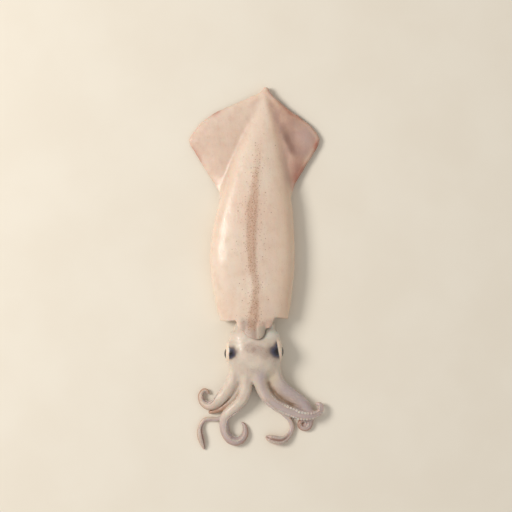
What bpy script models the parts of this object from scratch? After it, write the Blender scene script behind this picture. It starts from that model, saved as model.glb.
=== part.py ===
"""Whole cleaned squid lying on its belly with its arms trailing.

Metres, +Z up. The closed tip of the mantle points to +Y, the arms to -Y, and
the object's own left side is at -X. The origin is under the middle of the
bounding box, on the plane that the squid lies on.

Everything below is given in millimetres and turned into metres on the way
into the meshes. The body is one solid: mantle with its two fins, head, eight
arms and two long tentacles. The eyeballs are solids of their own that sit in
sockets at the sides of the head.
"""

import math

import bmesh
import bpy
import numpy as np
from mathutils import Vector

MM = 0.001
GAP = 0.3  # clearance round an eyeball

# ---------------------------------------------------------------- mantle
TIP_Y = 126.6  # closed end
MANTLE_LENGTH = 162.7
MANTLE_HALF_WIDTH = 29.6
MANTLE_HEIGHT = 20.5
WIDEST_AT = 0.74  # share of the length, counted from the tip
MARGIN_HALF_WIDTH = 23.8  # at the open front end
MARGIN_HEIGHT = 18.8
TIP_X = 6.1  # the tip leans to +X
BODY_X = -3.2  # where the middle line runs at the widest place
MANTLE_STATIONS = 22
MANTLE_SIDES = 28
WALL = 2.4  # thickness of the mantle wall at its open end
MOUTH_DEPTH = 6.0

# ------------------------------------------------------------------ fins
# Each edge is two Bezier curves: tip to apex, apex to rear insertion (x, y).
RIGHT_LEADING = ((7.0, 126.3), (11.8, 114.6), (38.8, 104.8), (44.1, 91.2))
RIGHT_TRAILING = ((44.1, 91.2), (43.4, 82.6), (30.4, 69.0), (21.5, 48.0))
LEFT_LEADING = ((5.4, 126.3), (-1.9, 116.6), (-35.5, 115.2), (-47.4, 90.0))
LEFT_TRAILING = ((-47.4, 90.0), (-46.7, 83.7), (-34.1, 69.0), (-23.8, 48.0))
FIN_STATIONS = 15
FIN_COLUMNS = 17
FIN_ROOT_THICK = 3.0
FIN_EDGE_THICK = 1.0

# ------------------------------------------------------------------ head
HEAD_X = -1.7
# (y, half width, top, bottom) from the neck inside the mantle to the arms
HEAD_STATIONS = (
    (-28.0, 12.0, 13.0, 0.8),
    (-37.5, 13.4, 14.4, 0.4),
    (-42.4, 14.8, 15.8, 0.0),
    (-45.4, 16.9, 17.0, 0.0),
    (-50.0, 17.3, 18.4, 0.0),
    (-57.5, 17.5, 19.4, 0.0),
    (-64.5, 17.6, 18.8, 0.0),
    (-70.0, 16.9, 17.2, 0.0),
    (-74.0, 14.2, 14.8, 0.4),
    (-76.6, 10.6, 12.0, 1.2),
)
HEAD_SIDES = 24

# flap of the mantle's back edge that lies over the neck: (y, half width, top)
FLAP_X = -1.9
FLAP_STATIONS = (
    (-31.0, 15.0, 17.9),
    (-36.0, 14.6, 18.5),
    (-40.0, 13.2, 18.7),
    (-42.8, 9.8, 18.9),
    (-46.0, 7.5, 19.3),
    (-48.0, 5.2, 19.7),
    (-49.0, 2.6, 19.6),
)
FLAP_THICK = 2.2

# ------------------------------------------------------------------ eyes
EYE_RADIUS = 6.2
EYE_RIGHT = (12.6, -57.8, 10.0)
EYE_LEFT = (-16.5, -59.2, 10.0)

# ------------------------------------------------------------------ arms
# Each route: (x, y, z of the middle line, radius), from the head outwards.
ARM_SIDES = 8
ARM_STEP = 4.0
ROUTES = {
    # the object's right side, as it lies
    "arm_r1": (
        (1.4, -64.0, 12.0, 4.0), (1.2, -77.5, 9.4, 3.6), (5.6, -88.4, 6.9, 3.5),
        (10.8, -94.0, 5.6, 3.3), (16.5, -98.1, 4.3, 3.0), (22.8, -101.2, 3.1, 2.4),
        (28.4, -103.8, 2.0, 1.7), (32.0, -105.2, 1.3, 1.1),
    ),
    "arm_r2": (
        (4.6, -63.0, 13.2, 4.0), (2.6, -74.5, 12.0, 3.8), (4.1, -81.6, 11.2, 3.75),
        (7.0, -88.0, 10.4, 3.8), (10.9, -92.6, 9.7, 3.75), (14.5, -95.3, 9.2, 3.7),
        (19.8, -97.8, 8.6, 3.75), (25.6, -100.1, 8.0, 3.6), (29.6, -101.7, 7.6, 3.4),
        (33.4, -102.7, 7.2, 3.15), (37.3, -102.8, 6.7, 2.75), (40.8, -102.0, 6.1, 2.2),
        (43.6, -100.7, 5.4, 2.1), (44.9, -98.5, 4.8, 1.95), (45.0, -96.3, 4.4, 1.75),
        (43.9, -94.9, 4.2, 1.4), (42.1, -94.9, 4.0, 1.0),
    ),
    "arm_r3": (
        (9.6, -62.0, 9.2, 4.0), (12.4, -74.0, 9.0, 4.5), (14.0, -78.8, 8.7, 4.8),
        (17.0, -83.2, 8.0, 4.95), (21.1, -87.0, 7.2, 4.75), (26.2, -90.4, 6.3, 4.3),
        (30.6, -93.2, 5.4, 3.85), (34.0, -96.3, 4.5, 3.2), (36.8, -99.6, 3.6, 2.6),
        (38.0, -103.0, 2.8, 2.3),
    ),
    "arm_r4": (
        (6.4, -64.0, 5.4, 4.0), (9.4, -78.0, 5.2, 4.0), (13.8, -86.4, 5.8, 3.9),
        (19.0, -91.2, 5.0, 3.6), (25.4, -95.2, 3.6, 2.8), (31.2, -98.4, 2.2, 1.7),
    ),
    # the left side
    "arm_l1": (
        (-6.6, -64.0, 12.0, 4.0), (-7.0, -79.0, 10.6, 3.75), (-7.9, -85.0, 9.6, 3.7),
        (-9.6, -90.0, 8.6, 3.6), (-12.9, -94.8, 7.2, 3.5), (-17.6, -99.1, 6.0, 3.3),
        (-21.2, -102.3, 4.9, 3.2), (-22.8, -106.6, 4.0, 3.1), (-22.8, -111.4, 3.3, 3.05),
        (-21.4, -116.0, 3.1, 3.0), (-18.8, -119.6, 3.1, 3.0), (-15.2, -121.2, 3.0, 2.95),
        (-11.4, -120.4, 2.7, 2.65), (-8.7, -117.4, 2.4, 2.3), (-7.8, -113.8, 2.0, 1.85),
        (-8.5, -110.4, 1.6, 1.35), (-10.0, -108.4, 1.2, 0.85),
    ),
    "arm_l2": (
        (-10.4, -64.0, 10.0, 4.0), (-11.4, -78.8, 6.4, 3.6), (-14.2, -85.8, 5.0, 3.4),
        (-18.0, -92.0, 4.2, 3.0), (-22.9, -96.6, 3.5, 2.5), (-28.2, -99.4, 2.7, 1.9),
        (-32.8, -100.8, 1.8, 1.2),
    ),
    "arm_l3": (
        (-12.6, -63.0, 9.4, 4.0), (-16.2, -76.6, 8.6, 4.3), (-19.6, -83.6, 7.6, 4.1),
        (-24.3, -89.6, 6.4, 3.8), (-29.7, -94.7, 5.0, 3.4), (-34.6, -95.9, 3.9, 2.8),
        (-38.3, -93.2, 3.2, 2.2), (-39.2, -89.2, 2.8, 1.8), (-37.6, -85.9, 2.6, 1.55),
        (-35.1, -85.6, 2.4, 1.25), (-34.0, -87.4, 2.2, 0.9),
    ),
    "arm_l4": (
        (-9.2, -64.0, 5.2, 4.0), (-9.6, -78.8, 3.9, 3.6), (-12.4, -87.2, 3.3, 3.1),
        (-15.8, -94.2, 2.8, 2.6), (-18.7, -98.4, 2.1, 1.8),
    ),
    # long tentacles, each with a club at its end
    "tentacle_r": (
        (4.6, -66.0, 5.6, 2.6), (5.2, -81.6, 4.4, 2.1), (8.0, -90.6, 3.8, 1.9),
        (13.4, -96.8, 3.0, 1.7), (18.8, -101.8, 2.2, 1.6), (22.8, -105.8, 1.7, 1.6),
        (24.8, -110.2, 1.7, 1.7), (24.0, -114.4, 1.8, 1.8), (21.4, -118.2, 2.2, 2.2),
        (17.8, -120.4, 2.8, 2.8), (13.8, -120.4, 3.1, 3.1), (10.0, -119.4, 2.8, 2.7),
        (7.6, -118.5, 2.1, 1.5),
    ),
    "tentacle_l": (
        (-9.8, -66.0, 5.0, 2.6), (-13.0, -81.0, 3.6, 2.1), (-15.8, -89.4, 2.8, 1.9),
        (-18.7, -97.4, 2.2, 1.7), (-22.2, -103.0, 1.8, 1.6), (-27.2, -105.6, 1.7, 1.6),
        (-32.2, -105.5, 1.7, 1.6), (-36.6, -106.2, 1.7, 1.6), (-39.1, -109.8, 1.7, 1.65),
        (-39.8, -114.2, 2.1, 2.05), (-39.1, -118.6, 2.3, 2.3), (-38.0, -122.8, 1.9, 1.85),
        (-36.9, -126.0, 1.2, 0.95),
    ),
}
# the end of arm_r3 goes on in a small flat spiral
CURL_MIDDLE = (33.2, -108.6)
CURL_RADII = (4.4, 1.6)
CURL_TURNS = 1.15
CURL_START = math.radians(14.0)
CURL_TUBE = (2.3, 1.1)
CURL_POINTS = 10


# ================================================================ helpers
def clear():
    for old in list(bpy.data.objects):
        bpy.data.objects.remove(old, do_unlink=True)


def collection(name):
    made = bpy.data.collections.new(name)
    bpy.context.scene.collection.children.link(made)
    return made


def material(name, colour, roughness):
    made = bpy.data.materials.new(name)
    made.use_nodes = True
    shader = made.node_tree.nodes["Principled BSDF"]
    shader.inputs["Base Color"].default_value = (*colour, 1.0)
    shader.inputs["Roughness"].default_value = roughness
    shader.inputs["Metallic"].default_value = 0.0
    return made


def bezier(points, n):
    """n points along one cubic Bezier curve."""
    p = np.array(points, float)
    t = np.linspace(0.0, 1.0, n)[:, None]
    return (
        (1 - t) ** 3 * p[0]
        + 3 * (1 - t) ** 2 * t * p[1]
        + 3 * (1 - t) * t**2 * p[2]
        + t**3 * p[3]
    )


def smooth_route(points, step):
    """Points a step apart on the smooth curve through a route's own points."""
    p = np.array(points, float)
    p = np.vstack([2 * p[0] - p[1], p, 2 * p[-1] - p[-2]])
    dense = []
    for i in range(1, len(p) - 2):
        a, b, c, d = p[i - 1], p[i], p[i + 1], p[i + 2]
        for t in np.linspace(0.0, 1.0, 16, endpoint=False):
            dense.append(
                0.5
                * (
                    2 * b
                    + (c - a) * t
                    + (2 * a - 5 * b + 4 * c - d) * t * t
                    + (3 * b - a - 3 * c + d) * t**3
                )
            )
    dense.append(p[-2])
    dense = np.array(dense)
    along = np.concatenate(
        [[0.0], np.cumsum(np.linalg.norm(np.diff(dense[:, :3], axis=0), axis=1))]
    )
    n = max(6, int(round(along[-1] / step)) + 1)
    at = np.linspace(0.0, along[-1], n)
    return np.stack([np.interp(at, along, dense[:, k]) for k in range(4)], axis=1)


def loft(name, rings, home):
    """Closed mesh through rings of equal point count, given in millimetres."""
    bm = bmesh.new()
    rows = [[bm.verts.new(Vector(p) * MM) for p in ring] for ring in rings]
    for a, b in zip(rows, rows[1:]):
        for i in range(len(a)):
            j = (i + 1) % len(a)
            bm.faces.new((a[i], a[j], b[j], b[i]))
    bm.faces.new(rows[0])
    bm.faces.new(list(reversed(rows[-1])))
    bmesh.ops.recalc_face_normals(bm, faces=bm.faces)
    bmesh.ops.triangulate(bm, faces=bm.faces)
    mesh = bpy.data.meshes.new(name)
    bm.to_mesh(mesh)
    bm.free()
    if sum(p.area * p.normal.dot(p.center) for p in mesh.polygons) < 0:
        mesh.flip_normals()
    made = bpy.data.objects.new(name, mesh)
    home.objects.link(made)
    return made


def limb(name, points, home):
    """A tapering tube along points (x, y, z, radius), as a closed mesh."""
    curve = bpy.data.curves.new(name, "CURVE")
    curve.dimensions = "3D"
    curve.bevel_depth = 1.0 * MM
    curve.bevel_resolution = (ARM_SIDES - 4) // 2
    curve.use_fill_caps = True
    line = curve.splines.new("POLY")
    line.points.add(len(points) - 1)
    for at, (x, y, z, r) in zip(line.points, points):
        at.co = (x * MM, y * MM, z * MM, 1.0)
        at.radius = r
    drawn = bpy.data.objects.new(name + "_line", curve)
    home.objects.link(drawn)
    bpy.context.view_layer.update()
    graph = bpy.context.evaluated_depsgraph_get()
    mesh = bpy.data.meshes.new_from_object(drawn.evaluated_get(graph))
    mesh.name = name
    bm = bmesh.new()
    bm.from_mesh(mesh)
    bmesh.ops.remove_doubles(bm, verts=bm.verts, dist=0.00002)
    bmesh.ops.recalc_face_normals(bm, faces=bm.faces)
    bmesh.ops.triangulate(bm, faces=bm.faces)
    bm.to_mesh(mesh)
    bm.free()
    made = bpy.data.objects.new(name, mesh)
    made.matrix_world = drawn.matrix_world
    home.objects.link(made)
    bpy.data.objects.remove(drawn, do_unlink=True)
    return made


def boolean(target, other, operation):
    step = target.modifiers.new(f"{operation.lower()}_{other.name}", "BOOLEAN")
    step.operation = operation
    step.solver = "EXACT"
    step.object = other


def guide(thing):
    thing.hide_render = True
    thing.display_type = "WIRE"


# ============================================================ body shapes
def half_width(s):
    """Mantle half width at share s of the length from the tip."""
    if s <= WIDEST_AT:
        return max(
            0.9, MANTLE_HALF_WIDTH * math.sin(0.5 * math.pi * s / WIDEST_AT) ** 1.1
        )
    back = (s - WIDEST_AT) / (1 - WIDEST_AT)
    return MANTLE_HALF_WIDTH - (MANTLE_HALF_WIDTH - MARGIN_HALF_WIDTH) * back**1.6


def middle_x(s):
    """Where the middle line runs: it leans to +X towards the tip."""
    lean = (TIP_X - BODY_X) * max(0.0, 1 - s / 0.72) ** 1.25
    return BODY_X + lean + 1.3 * max(0.0, (s - 0.72) / 0.28) ** 2


def top_z(s):
    """Height of the mantle's back."""
    full = MANTLE_HEIGHT * (half_width(s) / MANTLE_HALF_WIDTH) ** 0.72
    if s > WIDEST_AT:
        back = (s - WIDEST_AT) / (1 - WIDEST_AT)
        full = MANTLE_HEIGHT + (MARGIN_HEIGHT - MANTLE_HEIGHT) * back**1.4
    return full + belly_z(s)


def belly_z(s):
    """The closed tip lifts a little off the surface."""
    return 1.5 * max(0.0, 1 - s / 0.16) ** 2


def section(x0, y, half, bottom, top, sides, inset=0.0, rise=0.38, sink=0.25):
    """Flattened oval: a round back and a belly spread flat."""
    waist = bottom + rise * (top - bottom)
    low = bottom - sink
    ring = []
    for k in range(sides):
        a = 2 * math.pi * (k + 0.5) / sides
        c, s = math.cos(a), math.sin(a)
        e = 2.0 / 2.35 if s > 0 else 2.0 / 3.2
        x = math.copysign(abs(c) ** e, c) * (half - inset)
        if s > 0:
            z = waist + (top - inset - waist) * s**e
        else:
            z = waist - (waist - low - inset) * (-s) ** e
        ring.append((x0 + x, y, z))
    return ring


def mantle(home):
    rings = []
    for i in range(MANTLE_STATIONS + 1):
        s = (i / MANTLE_STATIONS) ** 1.15
        rings.append(
            section(
                middle_x(s), TIP_Y - MANTLE_LENGTH * s, half_width(s),
                belly_z(s), top_z(s), MANTLE_SIDES,
            )
        )
    # rounded lip, then back into the open end
    for depth, inset in ((-0.5, 0.7), (-0.5, WALL - 0.7), (0.4, WALL), (MOUTH_DEPTH, WALL + 0.6)):
        rings.append(
            section(
                middle_x(1.0), TIP_Y - MANTLE_LENGTH + depth, half_width(1.0),
                0.0, top_z(1.0), MANTLE_SIDES, inset,
            )
        )
    return loft("mantle", rings, home)


def fin_edges():
    """Functions giving the left and the right fin edge's x at a given y."""
    sides = []
    for lead, trail in ((LEFT_LEADING, LEFT_TRAILING), (RIGHT_LEADING, RIGHT_TRAILING)):
        line = np.vstack([bezier(lead, 60), bezier(trail, 60)[1:]])[::-1]
        sides.append(lambda y, line=line: float(np.interp(y, line[:, 1], line[:, 0])))
    return sides


def fin_z(out, reach, side):
    """Middle of the fin's thickness, out mm beyond the mantle's flank."""
    u = min(1.0, max(0.0, out / max(reach, 1.0)))
    spread = min(1.0, reach / 26.0)
    if side > 0:  # furrow beside the mantle, a swell, then the edge droops
        furrow = 4.8 - 1.5 * spread * math.exp(-(((u - 0.26) / 0.16) ** 2))
        swell = 1.6 * spread * math.exp(-(((u - 0.62) / 0.28) ** 2))
        return furrow + swell - 2.6 * u**4
    return 4.8 + 0.5 * spread * math.sin(math.pi * u) - 3.0 * u**1.6


def fins(home):
    left, right = fin_edges()
    rings = []
    for i in range(FIN_STATIONS):
        y = 125.9 + (49.0 - 125.9) * (i / (FIN_STATIONS - 1)) ** 1.1
        s = (TIP_Y - y) / MANTLE_LENGTH
        x0, half = middle_x(s), half_width(s)
        a, b = left(y), right(y)
        upper, lower = [], []
        for k in range(FIN_COLUMNS):
            v = 0.5 - 0.5 * math.cos(math.pi * (0.06 + 0.88 * k / (FIN_COLUMNS - 1)))
            v = (v - 0.0089) / (1 - 2 * 0.0089)
            x = a + (b - a) * v
            side = 1 if x > x0 else -1
            out = abs(x - x0) - 0.9 * half
            reach = (b - x0 if side > 0 else x0 - a) - 0.9 * half
            z = fin_z(out, reach, side)
            edge = min(x - a, b - x)
            thick = FIN_EDGE_THICK + (FIN_ROOT_THICK - FIN_EDGE_THICK) * min(
                1.0, edge / 9.0
            )
            upper.append((x, y, z + 0.5 * thick))
            lower.append((x, y, z - 0.5 * thick))
        rings.append(upper + lower[::-1])
    return loft("fins", rings, home)


def head(home):
    rings = [
        section(HEAD_X, y, half, low, top, HEAD_SIDES, rise=0.45)
        for y, half, top, low in HEAD_STATIONS
    ]
    return loft("head", rings, home)


def flap(home):
    rings = []
    for y, half, top in FLAP_STATIONS:
        upper, lower = [], []
        for k in range(9):
            v = -1 + 2 * k / 8
            drop = 0.12 * half * v * v
            upper.append((FLAP_X + half * v, y, top - drop))
            lower.append((FLAP_X + half * v * 0.96, y, top - drop - FLAP_THICK))
        rings.append(upper + lower[::-1])
    return loft("flap", rings, home)


def curl_points():
    """The flat spiral that ends the outer right arm."""
    points = []
    for i in range(CURL_POINTS):
        t = (i + 1) / CURL_POINTS
        a = CURL_START - 2 * math.pi * CURL_TURNS * t
        r = CURL_RADII[0] + (CURL_RADII[1] - CURL_RADII[0]) * t
        tube = CURL_TUBE[0] + (CURL_TUBE[1] - CURL_TUBE[0]) * t
        points.append(
            (
                CURL_MIDDLE[0] + r * math.cos(a),
                CURL_MIDDLE[1] + r * math.sin(a),
                tube + 0.1,
                tube,
            )
        )
    return points


def ball(name, radius, at, home):
    bpy.ops.mesh.primitive_uv_sphere_add(
        segments=20, ring_count=12, radius=radius * MM, location=[c * MM for c in at]
    )
    made = bpy.context.active_object
    made.name = made.data.name = name
    for c in list(made.users_collection):
        c.objects.unlink(made)
    home.objects.link(made)
    made.data.shade_smooth()
    return made


def main():
    clear()
    parts = collection("squid_whole")
    guides = collection("guides")
    flesh = material("flesh", (0.86, 0.72, 0.64), 0.32)
    eye = material("eye", (0.05, 0.045, 0.06), 0.12)

    body = mantle(parts)
    body.name = body.data.name = "squid"
    body.data.materials.append(flesh)
    pieces = [fins(guides), head(guides), flap(guides)]
    for name, route in ROUTES.items():
        points = [tuple(p) for p in smooth_route(route, ARM_STEP)]
        if name == "arm_r3":
            points += curl_points()
        pieces.append(limb(name, points, guides))
    for piece in pieces:
        guide(piece)
        boolean(body, piece, "UNION")

    # the eyeballs' sockets
    for side, at in (("left", EYE_LEFT), ("right", EYE_RIGHT)):
        socket = ball(f"socket_{side}", EYE_RADIUS + GAP, at, guides)
        guide(socket)
        boolean(body, socket, "DIFFERENCE")
        eyeball = ball(f"eye_{side}", EYE_RADIUS, at, parts)
        eyeball.data.materials.append(eye)

    # everything that would sink into the surface is cut off flat
    bpy.ops.mesh.primitive_cube_add(size=1.0, location=(0.0, 0.0, -5.0 * MM))
    below = bpy.context.active_object
    below.name = below.data.name = "below"
    below.scale = (150.0 * MM, 300.0 * MM, 10.0 * MM)
    for c in list(below.users_collection):
        c.objects.unlink(below)
    guides.objects.link(below)
    guide(below)
    boolean(body, below, "DIFFERENCE")

    body.data.shade_smooth()


main()
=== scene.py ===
import math

import bpy
import numpy as np
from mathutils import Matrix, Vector


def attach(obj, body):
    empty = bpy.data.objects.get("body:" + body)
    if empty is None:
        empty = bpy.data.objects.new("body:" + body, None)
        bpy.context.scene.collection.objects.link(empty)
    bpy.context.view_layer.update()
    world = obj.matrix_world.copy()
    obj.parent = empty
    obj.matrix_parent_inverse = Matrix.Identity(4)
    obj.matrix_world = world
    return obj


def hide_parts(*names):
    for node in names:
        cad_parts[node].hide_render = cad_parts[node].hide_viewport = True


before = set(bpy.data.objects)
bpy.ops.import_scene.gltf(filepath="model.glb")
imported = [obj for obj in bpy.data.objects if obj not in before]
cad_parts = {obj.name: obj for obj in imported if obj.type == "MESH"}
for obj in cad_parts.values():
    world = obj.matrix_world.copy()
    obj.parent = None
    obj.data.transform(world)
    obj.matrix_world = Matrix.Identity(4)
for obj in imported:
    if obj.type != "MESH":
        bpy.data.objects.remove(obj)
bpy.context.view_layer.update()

MM = 0.001

# ======================================================================
# Sizes of the squid in millimetres, the same as those of its solids.
# +Y is the closed tip of the mantle, -Y the arms, +Z up.
# ======================================================================
TIP_Y = 126.6
MANTLE_LENGTH = 162.7
MANTLE_HALF_WIDTH = 29.6
MANTLE_HEIGHT = 20.5
WIDEST_AT = 0.74
MARGIN_HALF_WIDTH = 23.8
MARGIN_HEIGHT = 18.8
TIP_X = 6.1
BODY_X = -3.2
WALL = 2.4
MOUTH_DEPTH = 7.5

RIGHT_LEADING = ((7.0, 126.3), (11.8, 114.6), (38.8, 104.8), (44.1, 91.2))
RIGHT_TRAILING = ((44.1, 91.2), (43.4, 82.6), (30.4, 69.0), (21.5, 48.0))
LEFT_LEADING = ((5.4, 126.3), (-1.9, 116.6), (-35.5, 115.2), (-47.4, 90.0))
LEFT_TRAILING = ((-47.4, 90.0), (-46.7, 83.7), (-34.1, 69.0), (-23.8, 48.0))

HEAD_X = -1.7
HEAD_STATIONS = (
    (-28.0, 12.0, 13.0), (-37.5, 13.4, 14.4), (-42.4, 14.8, 15.8),
    (-45.4, 16.9, 17.0), (-50.0, 17.3, 18.4), (-57.5, 17.5, 19.4),
    (-64.5, 17.6, 18.8), (-70.0, 16.9, 17.2), (-74.0, 14.2, 14.8),
    (-76.6, 10.6, 12.0),
)
FLAP_X = -1.9
FLAP_STATIONS = (
    (-31.0, 15.0, 17.9), (-36.0, 14.6, 18.5), (-40.0, 13.2, 18.7),
    (-42.8, 9.8, 18.9), (-46.0, 8.0, 19.3), (-48.4, 5.6, 19.7),
    (-49.6, 2.6, 19.6),
)
FLAP_EDGE = (
    (-15.2, -30.0, 0.0), (-14.4, -36.0, 0.0), (-12.6, -41.0, 0.0), (-9.8, -43.4, 0.0),
    (-8.2, -45.8, 0.0), (-5.4, -47.7, 0.0), (-2.0, -48.7, 0.0), (0.6, -49.0, 0.0),
    (2.6, -48.6, 0.0), (4.3, -47.5, 0.0), (5.4, -46.1, 0.0), (5.9, -44.5, 0.0),
    (6.0, -42.9, 0.0), (6.6, -41.8, 0.0), (7.8, -41.4, 0.0), (9.5, -41.0, 0.0),
    (10.8, -39.3, 0.0), (11.9, -36.8, 0.0), (12.5, -34.0, 0.0), (12.8, -30.0, 0.0),
)
EYE_RADIUS = 6.2
EYES = {"right": (12.6, -57.8, 10.0), "left": (-16.5, -59.2, 10.0)}

# Limb routes: (x, y, z, radius) from the head outwards.
ROUTES = {
    "arm_r1": (
        (1.4, -64.0, 12.0, 4.0), (1.2, -77.5, 9.4, 3.6), (5.6, -88.4, 6.9, 3.5),
        (10.8, -94.0, 5.6, 3.3), (16.5, -98.1, 4.3, 3.0), (22.8, -101.2, 3.1, 2.4),
        (28.4, -103.8, 2.0, 1.7), (32.0, -105.2, 1.3, 1.1),
    ),
    "arm_r2": (
        (4.6, -63.0, 13.2, 4.0), (2.6, -74.5, 12.0, 3.8), (4.1, -81.6, 11.2, 3.75),
        (7.0, -88.0, 10.4, 3.8), (10.9, -92.6, 9.7, 3.75), (14.5, -95.3, 9.2, 3.7),
        (19.8, -97.8, 8.6, 3.75), (25.6, -100.1, 8.0, 3.6), (29.6, -101.7, 7.6, 3.4),
        (33.4, -102.7, 7.2, 3.15), (37.3, -102.8, 6.7, 2.75), (40.8, -102.0, 6.1, 2.2),
        (43.6, -100.7, 5.4, 2.1), (44.9, -98.5, 4.8, 1.95), (45.0, -96.3, 4.4, 1.75),
        (43.9, -94.9, 4.2, 1.4), (42.1, -94.9, 4.0, 1.0),
    ),
    "arm_r3": (
        (9.6, -62.0, 9.2, 4.0), (12.4, -74.0, 9.0, 4.5), (14.0, -78.8, 8.7, 4.8),
        (17.0, -83.2, 8.0, 4.95), (21.1, -87.0, 7.2, 4.75), (26.2, -90.4, 6.3, 4.3),
        (30.6, -93.2, 5.4, 3.85), (34.0, -96.3, 4.5, 3.2), (36.8, -99.6, 3.6, 2.6),
        (38.0, -103.0, 2.8, 2.3),
    ),
    "arm_r4": (
        (6.4, -64.0, 5.4, 4.0), (9.4, -78.0, 5.2, 4.0), (13.8, -86.4, 5.8, 3.9),
        (19.0, -91.2, 5.0, 3.6), (25.4, -95.2, 3.6, 2.8), (31.2, -98.4, 2.2, 1.7),
    ),
    "arm_l1": (
        (-6.6, -64.0, 12.0, 4.0), (-7.0, -79.0, 10.6, 3.75), (-7.9, -85.0, 9.6, 3.7),
        (-9.6, -90.0, 8.6, 3.6), (-12.9, -94.8, 7.2, 3.5), (-17.6, -99.1, 6.0, 3.3),
        (-21.2, -102.3, 4.9, 3.2), (-22.8, -106.6, 4.0, 3.1), (-22.8, -111.4, 3.3, 3.05),
        (-21.4, -116.0, 3.1, 3.0), (-18.8, -119.6, 3.1, 3.0), (-15.2, -121.2, 3.0, 2.95),
        (-11.4, -120.4, 2.7, 2.65), (-8.7, -117.4, 2.4, 2.3), (-7.8, -113.8, 2.0, 1.85),
        (-8.5, -110.4, 1.6, 1.35), (-10.0, -108.4, 1.2, 0.85),
    ),
    "arm_l2": (
        (-10.4, -64.0, 10.0, 4.0), (-11.4, -78.8, 6.4, 3.6), (-14.2, -85.8, 5.0, 3.4),
        (-18.0, -92.0, 4.2, 3.0), (-22.9, -96.6, 3.5, 2.5), (-28.2, -99.4, 2.7, 1.9),
        (-32.8, -100.8, 1.8, 1.2),
    ),
    "arm_l3": (
        (-12.6, -63.0, 9.4, 4.0), (-16.2, -76.6, 8.6, 4.3), (-19.6, -83.6, 7.6, 4.1),
        (-24.3, -89.6, 6.4, 3.8), (-29.7, -94.7, 5.0, 3.4), (-34.6, -95.9, 3.9, 2.8),
        (-38.3, -93.2, 3.2, 2.2), (-39.2, -89.2, 2.8, 1.8), (-37.6, -85.9, 2.6, 1.55),
        (-35.1, -85.6, 2.4, 1.25), (-34.0, -87.4, 2.2, 0.9),
    ),
    "arm_l4": (
        (-9.2, -64.0, 5.2, 4.0), (-9.6, -78.8, 3.9, 3.6), (-12.4, -87.2, 3.3, 3.1),
        (-15.8, -94.2, 2.8, 2.6), (-18.7, -98.4, 2.1, 1.8),
    ),
    "tentacle_r": (
        (4.6, -66.0, 5.6, 2.6), (5.2, -81.6, 4.4, 2.1), (8.0, -90.6, 3.8, 1.9),
        (13.4, -96.8, 3.0, 1.7), (18.8, -101.8, 2.2, 1.6), (22.8, -105.8, 1.7, 1.6),
        (24.8, -110.2, 1.7, 1.7), (24.0, -114.4, 1.8, 1.8), (21.4, -118.2, 2.2, 2.2),
        (17.8, -120.4, 2.8, 2.8), (13.8, -120.4, 3.1, 3.1), (10.0, -119.4, 2.8, 2.7),
        (7.6, -118.5, 2.1, 1.5),
    ),
    "tentacle_l": (
        (-9.8, -66.0, 5.0, 2.6), (-13.0, -81.0, 3.6, 2.1), (-15.8, -89.4, 2.8, 1.9),
        (-18.7, -97.4, 2.2, 1.7), (-22.2, -103.0, 1.8, 1.6), (-27.2, -105.6, 1.7, 1.6),
        (-32.2, -105.5, 1.7, 1.6), (-36.6, -106.2, 1.7, 1.6), (-39.1, -109.8, 1.7, 1.65),
        (-39.8, -114.2, 2.1, 2.05), (-39.1, -118.6, 2.3, 2.3), (-38.0, -122.8, 1.9, 1.85),
        (-36.9, -126.0, 1.2, 0.95),
    ),
}
CURL_MIDDLE = (33.2, -108.6)
CURL_RADII = (4.05, 0.75)
CURL_TURNS = 1.34
CURL_START = math.radians(14.0)
CURL_TUBE = (2.15, 1.15)

# How wide each limb lies, against how tall.
SPREAD = {"arm_r3": (1.10, 0.90), "arm_r2": (1.07, 0.92), "tentacle_l": (1.0, 1.0), "tentacle_r": (1.0, 1.0)}

# Which way each limb's sucker side faces: degrees from straight up, turned
# about the limb towards its right hand, at the root and at the tip.
ORAL = {
    "arm_r1": (200.0, 160.0), "arm_r2": (-8.0, 6.0), "arm_r3": (150.0, 60.0),
    "arm_r4": (180.0, 180.0), "arm_l1": (195.0, 305.0), "arm_l2": (180.0, 180.0),
    "arm_l3": (200.0, 66.0), "arm_l4": (180.0, 180.0),
    "tentacle_r": (170.0, 10.0), "tentacle_l": (170.0, -40.0),
}


# ======================================================================
# Small helpers
# ======================================================================
def bezier(points, n):
    p = np.array(points, float)
    t = np.linspace(0.0, 1.0, n)[:, None]
    return ((1 - t) ** 3 * p[0] + 3 * (1 - t) ** 2 * t * p[1]
            + 3 * (1 - t) * t**2 * p[2] + t**3 * p[3])


def smooth_route(points, step):
    p = np.array(points, float)
    p = np.vstack([2 * p[0] - p[1], p, 2 * p[-1] - p[-2]])
    dense = []
    for i in range(1, len(p) - 2):
        a, b, c, d = p[i - 1], p[i], p[i + 1], p[i + 2]
        for t in np.linspace(0.0, 1.0, 16, endpoint=False):
            dense.append(0.5 * (2 * b + (c - a) * t + (2 * a - 5 * b + 4 * c - d) * t * t
                                + (3 * b - a - 3 * c + d) * t**3))
    dense.append(p[-2])
    dense = np.array(dense)
    along = np.concatenate([[0.0], np.cumsum(np.linalg.norm(np.diff(dense[:, :3], axis=0), axis=1))])
    n = max(6, int(round(along[-1] / step)) + 1)
    at = np.linspace(0.0, along[-1], n)
    return np.stack([np.interp(at, along, dense[:, k]) for k in range(dense.shape[1])], axis=1)


def smoothstep(a, b, x):
    t = np.clip((x - a) / (b - a), 0.0, 1.0)
    return t * t * (3 - 2 * t)


def smin(a, b, k):
    h = np.maximum(k - np.abs(a - b), 0.0) / k
    return np.minimum(a, b) - h * h * k * 0.25


def smax(a, b, k):
    return -smin(-a, -b, k)


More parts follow.
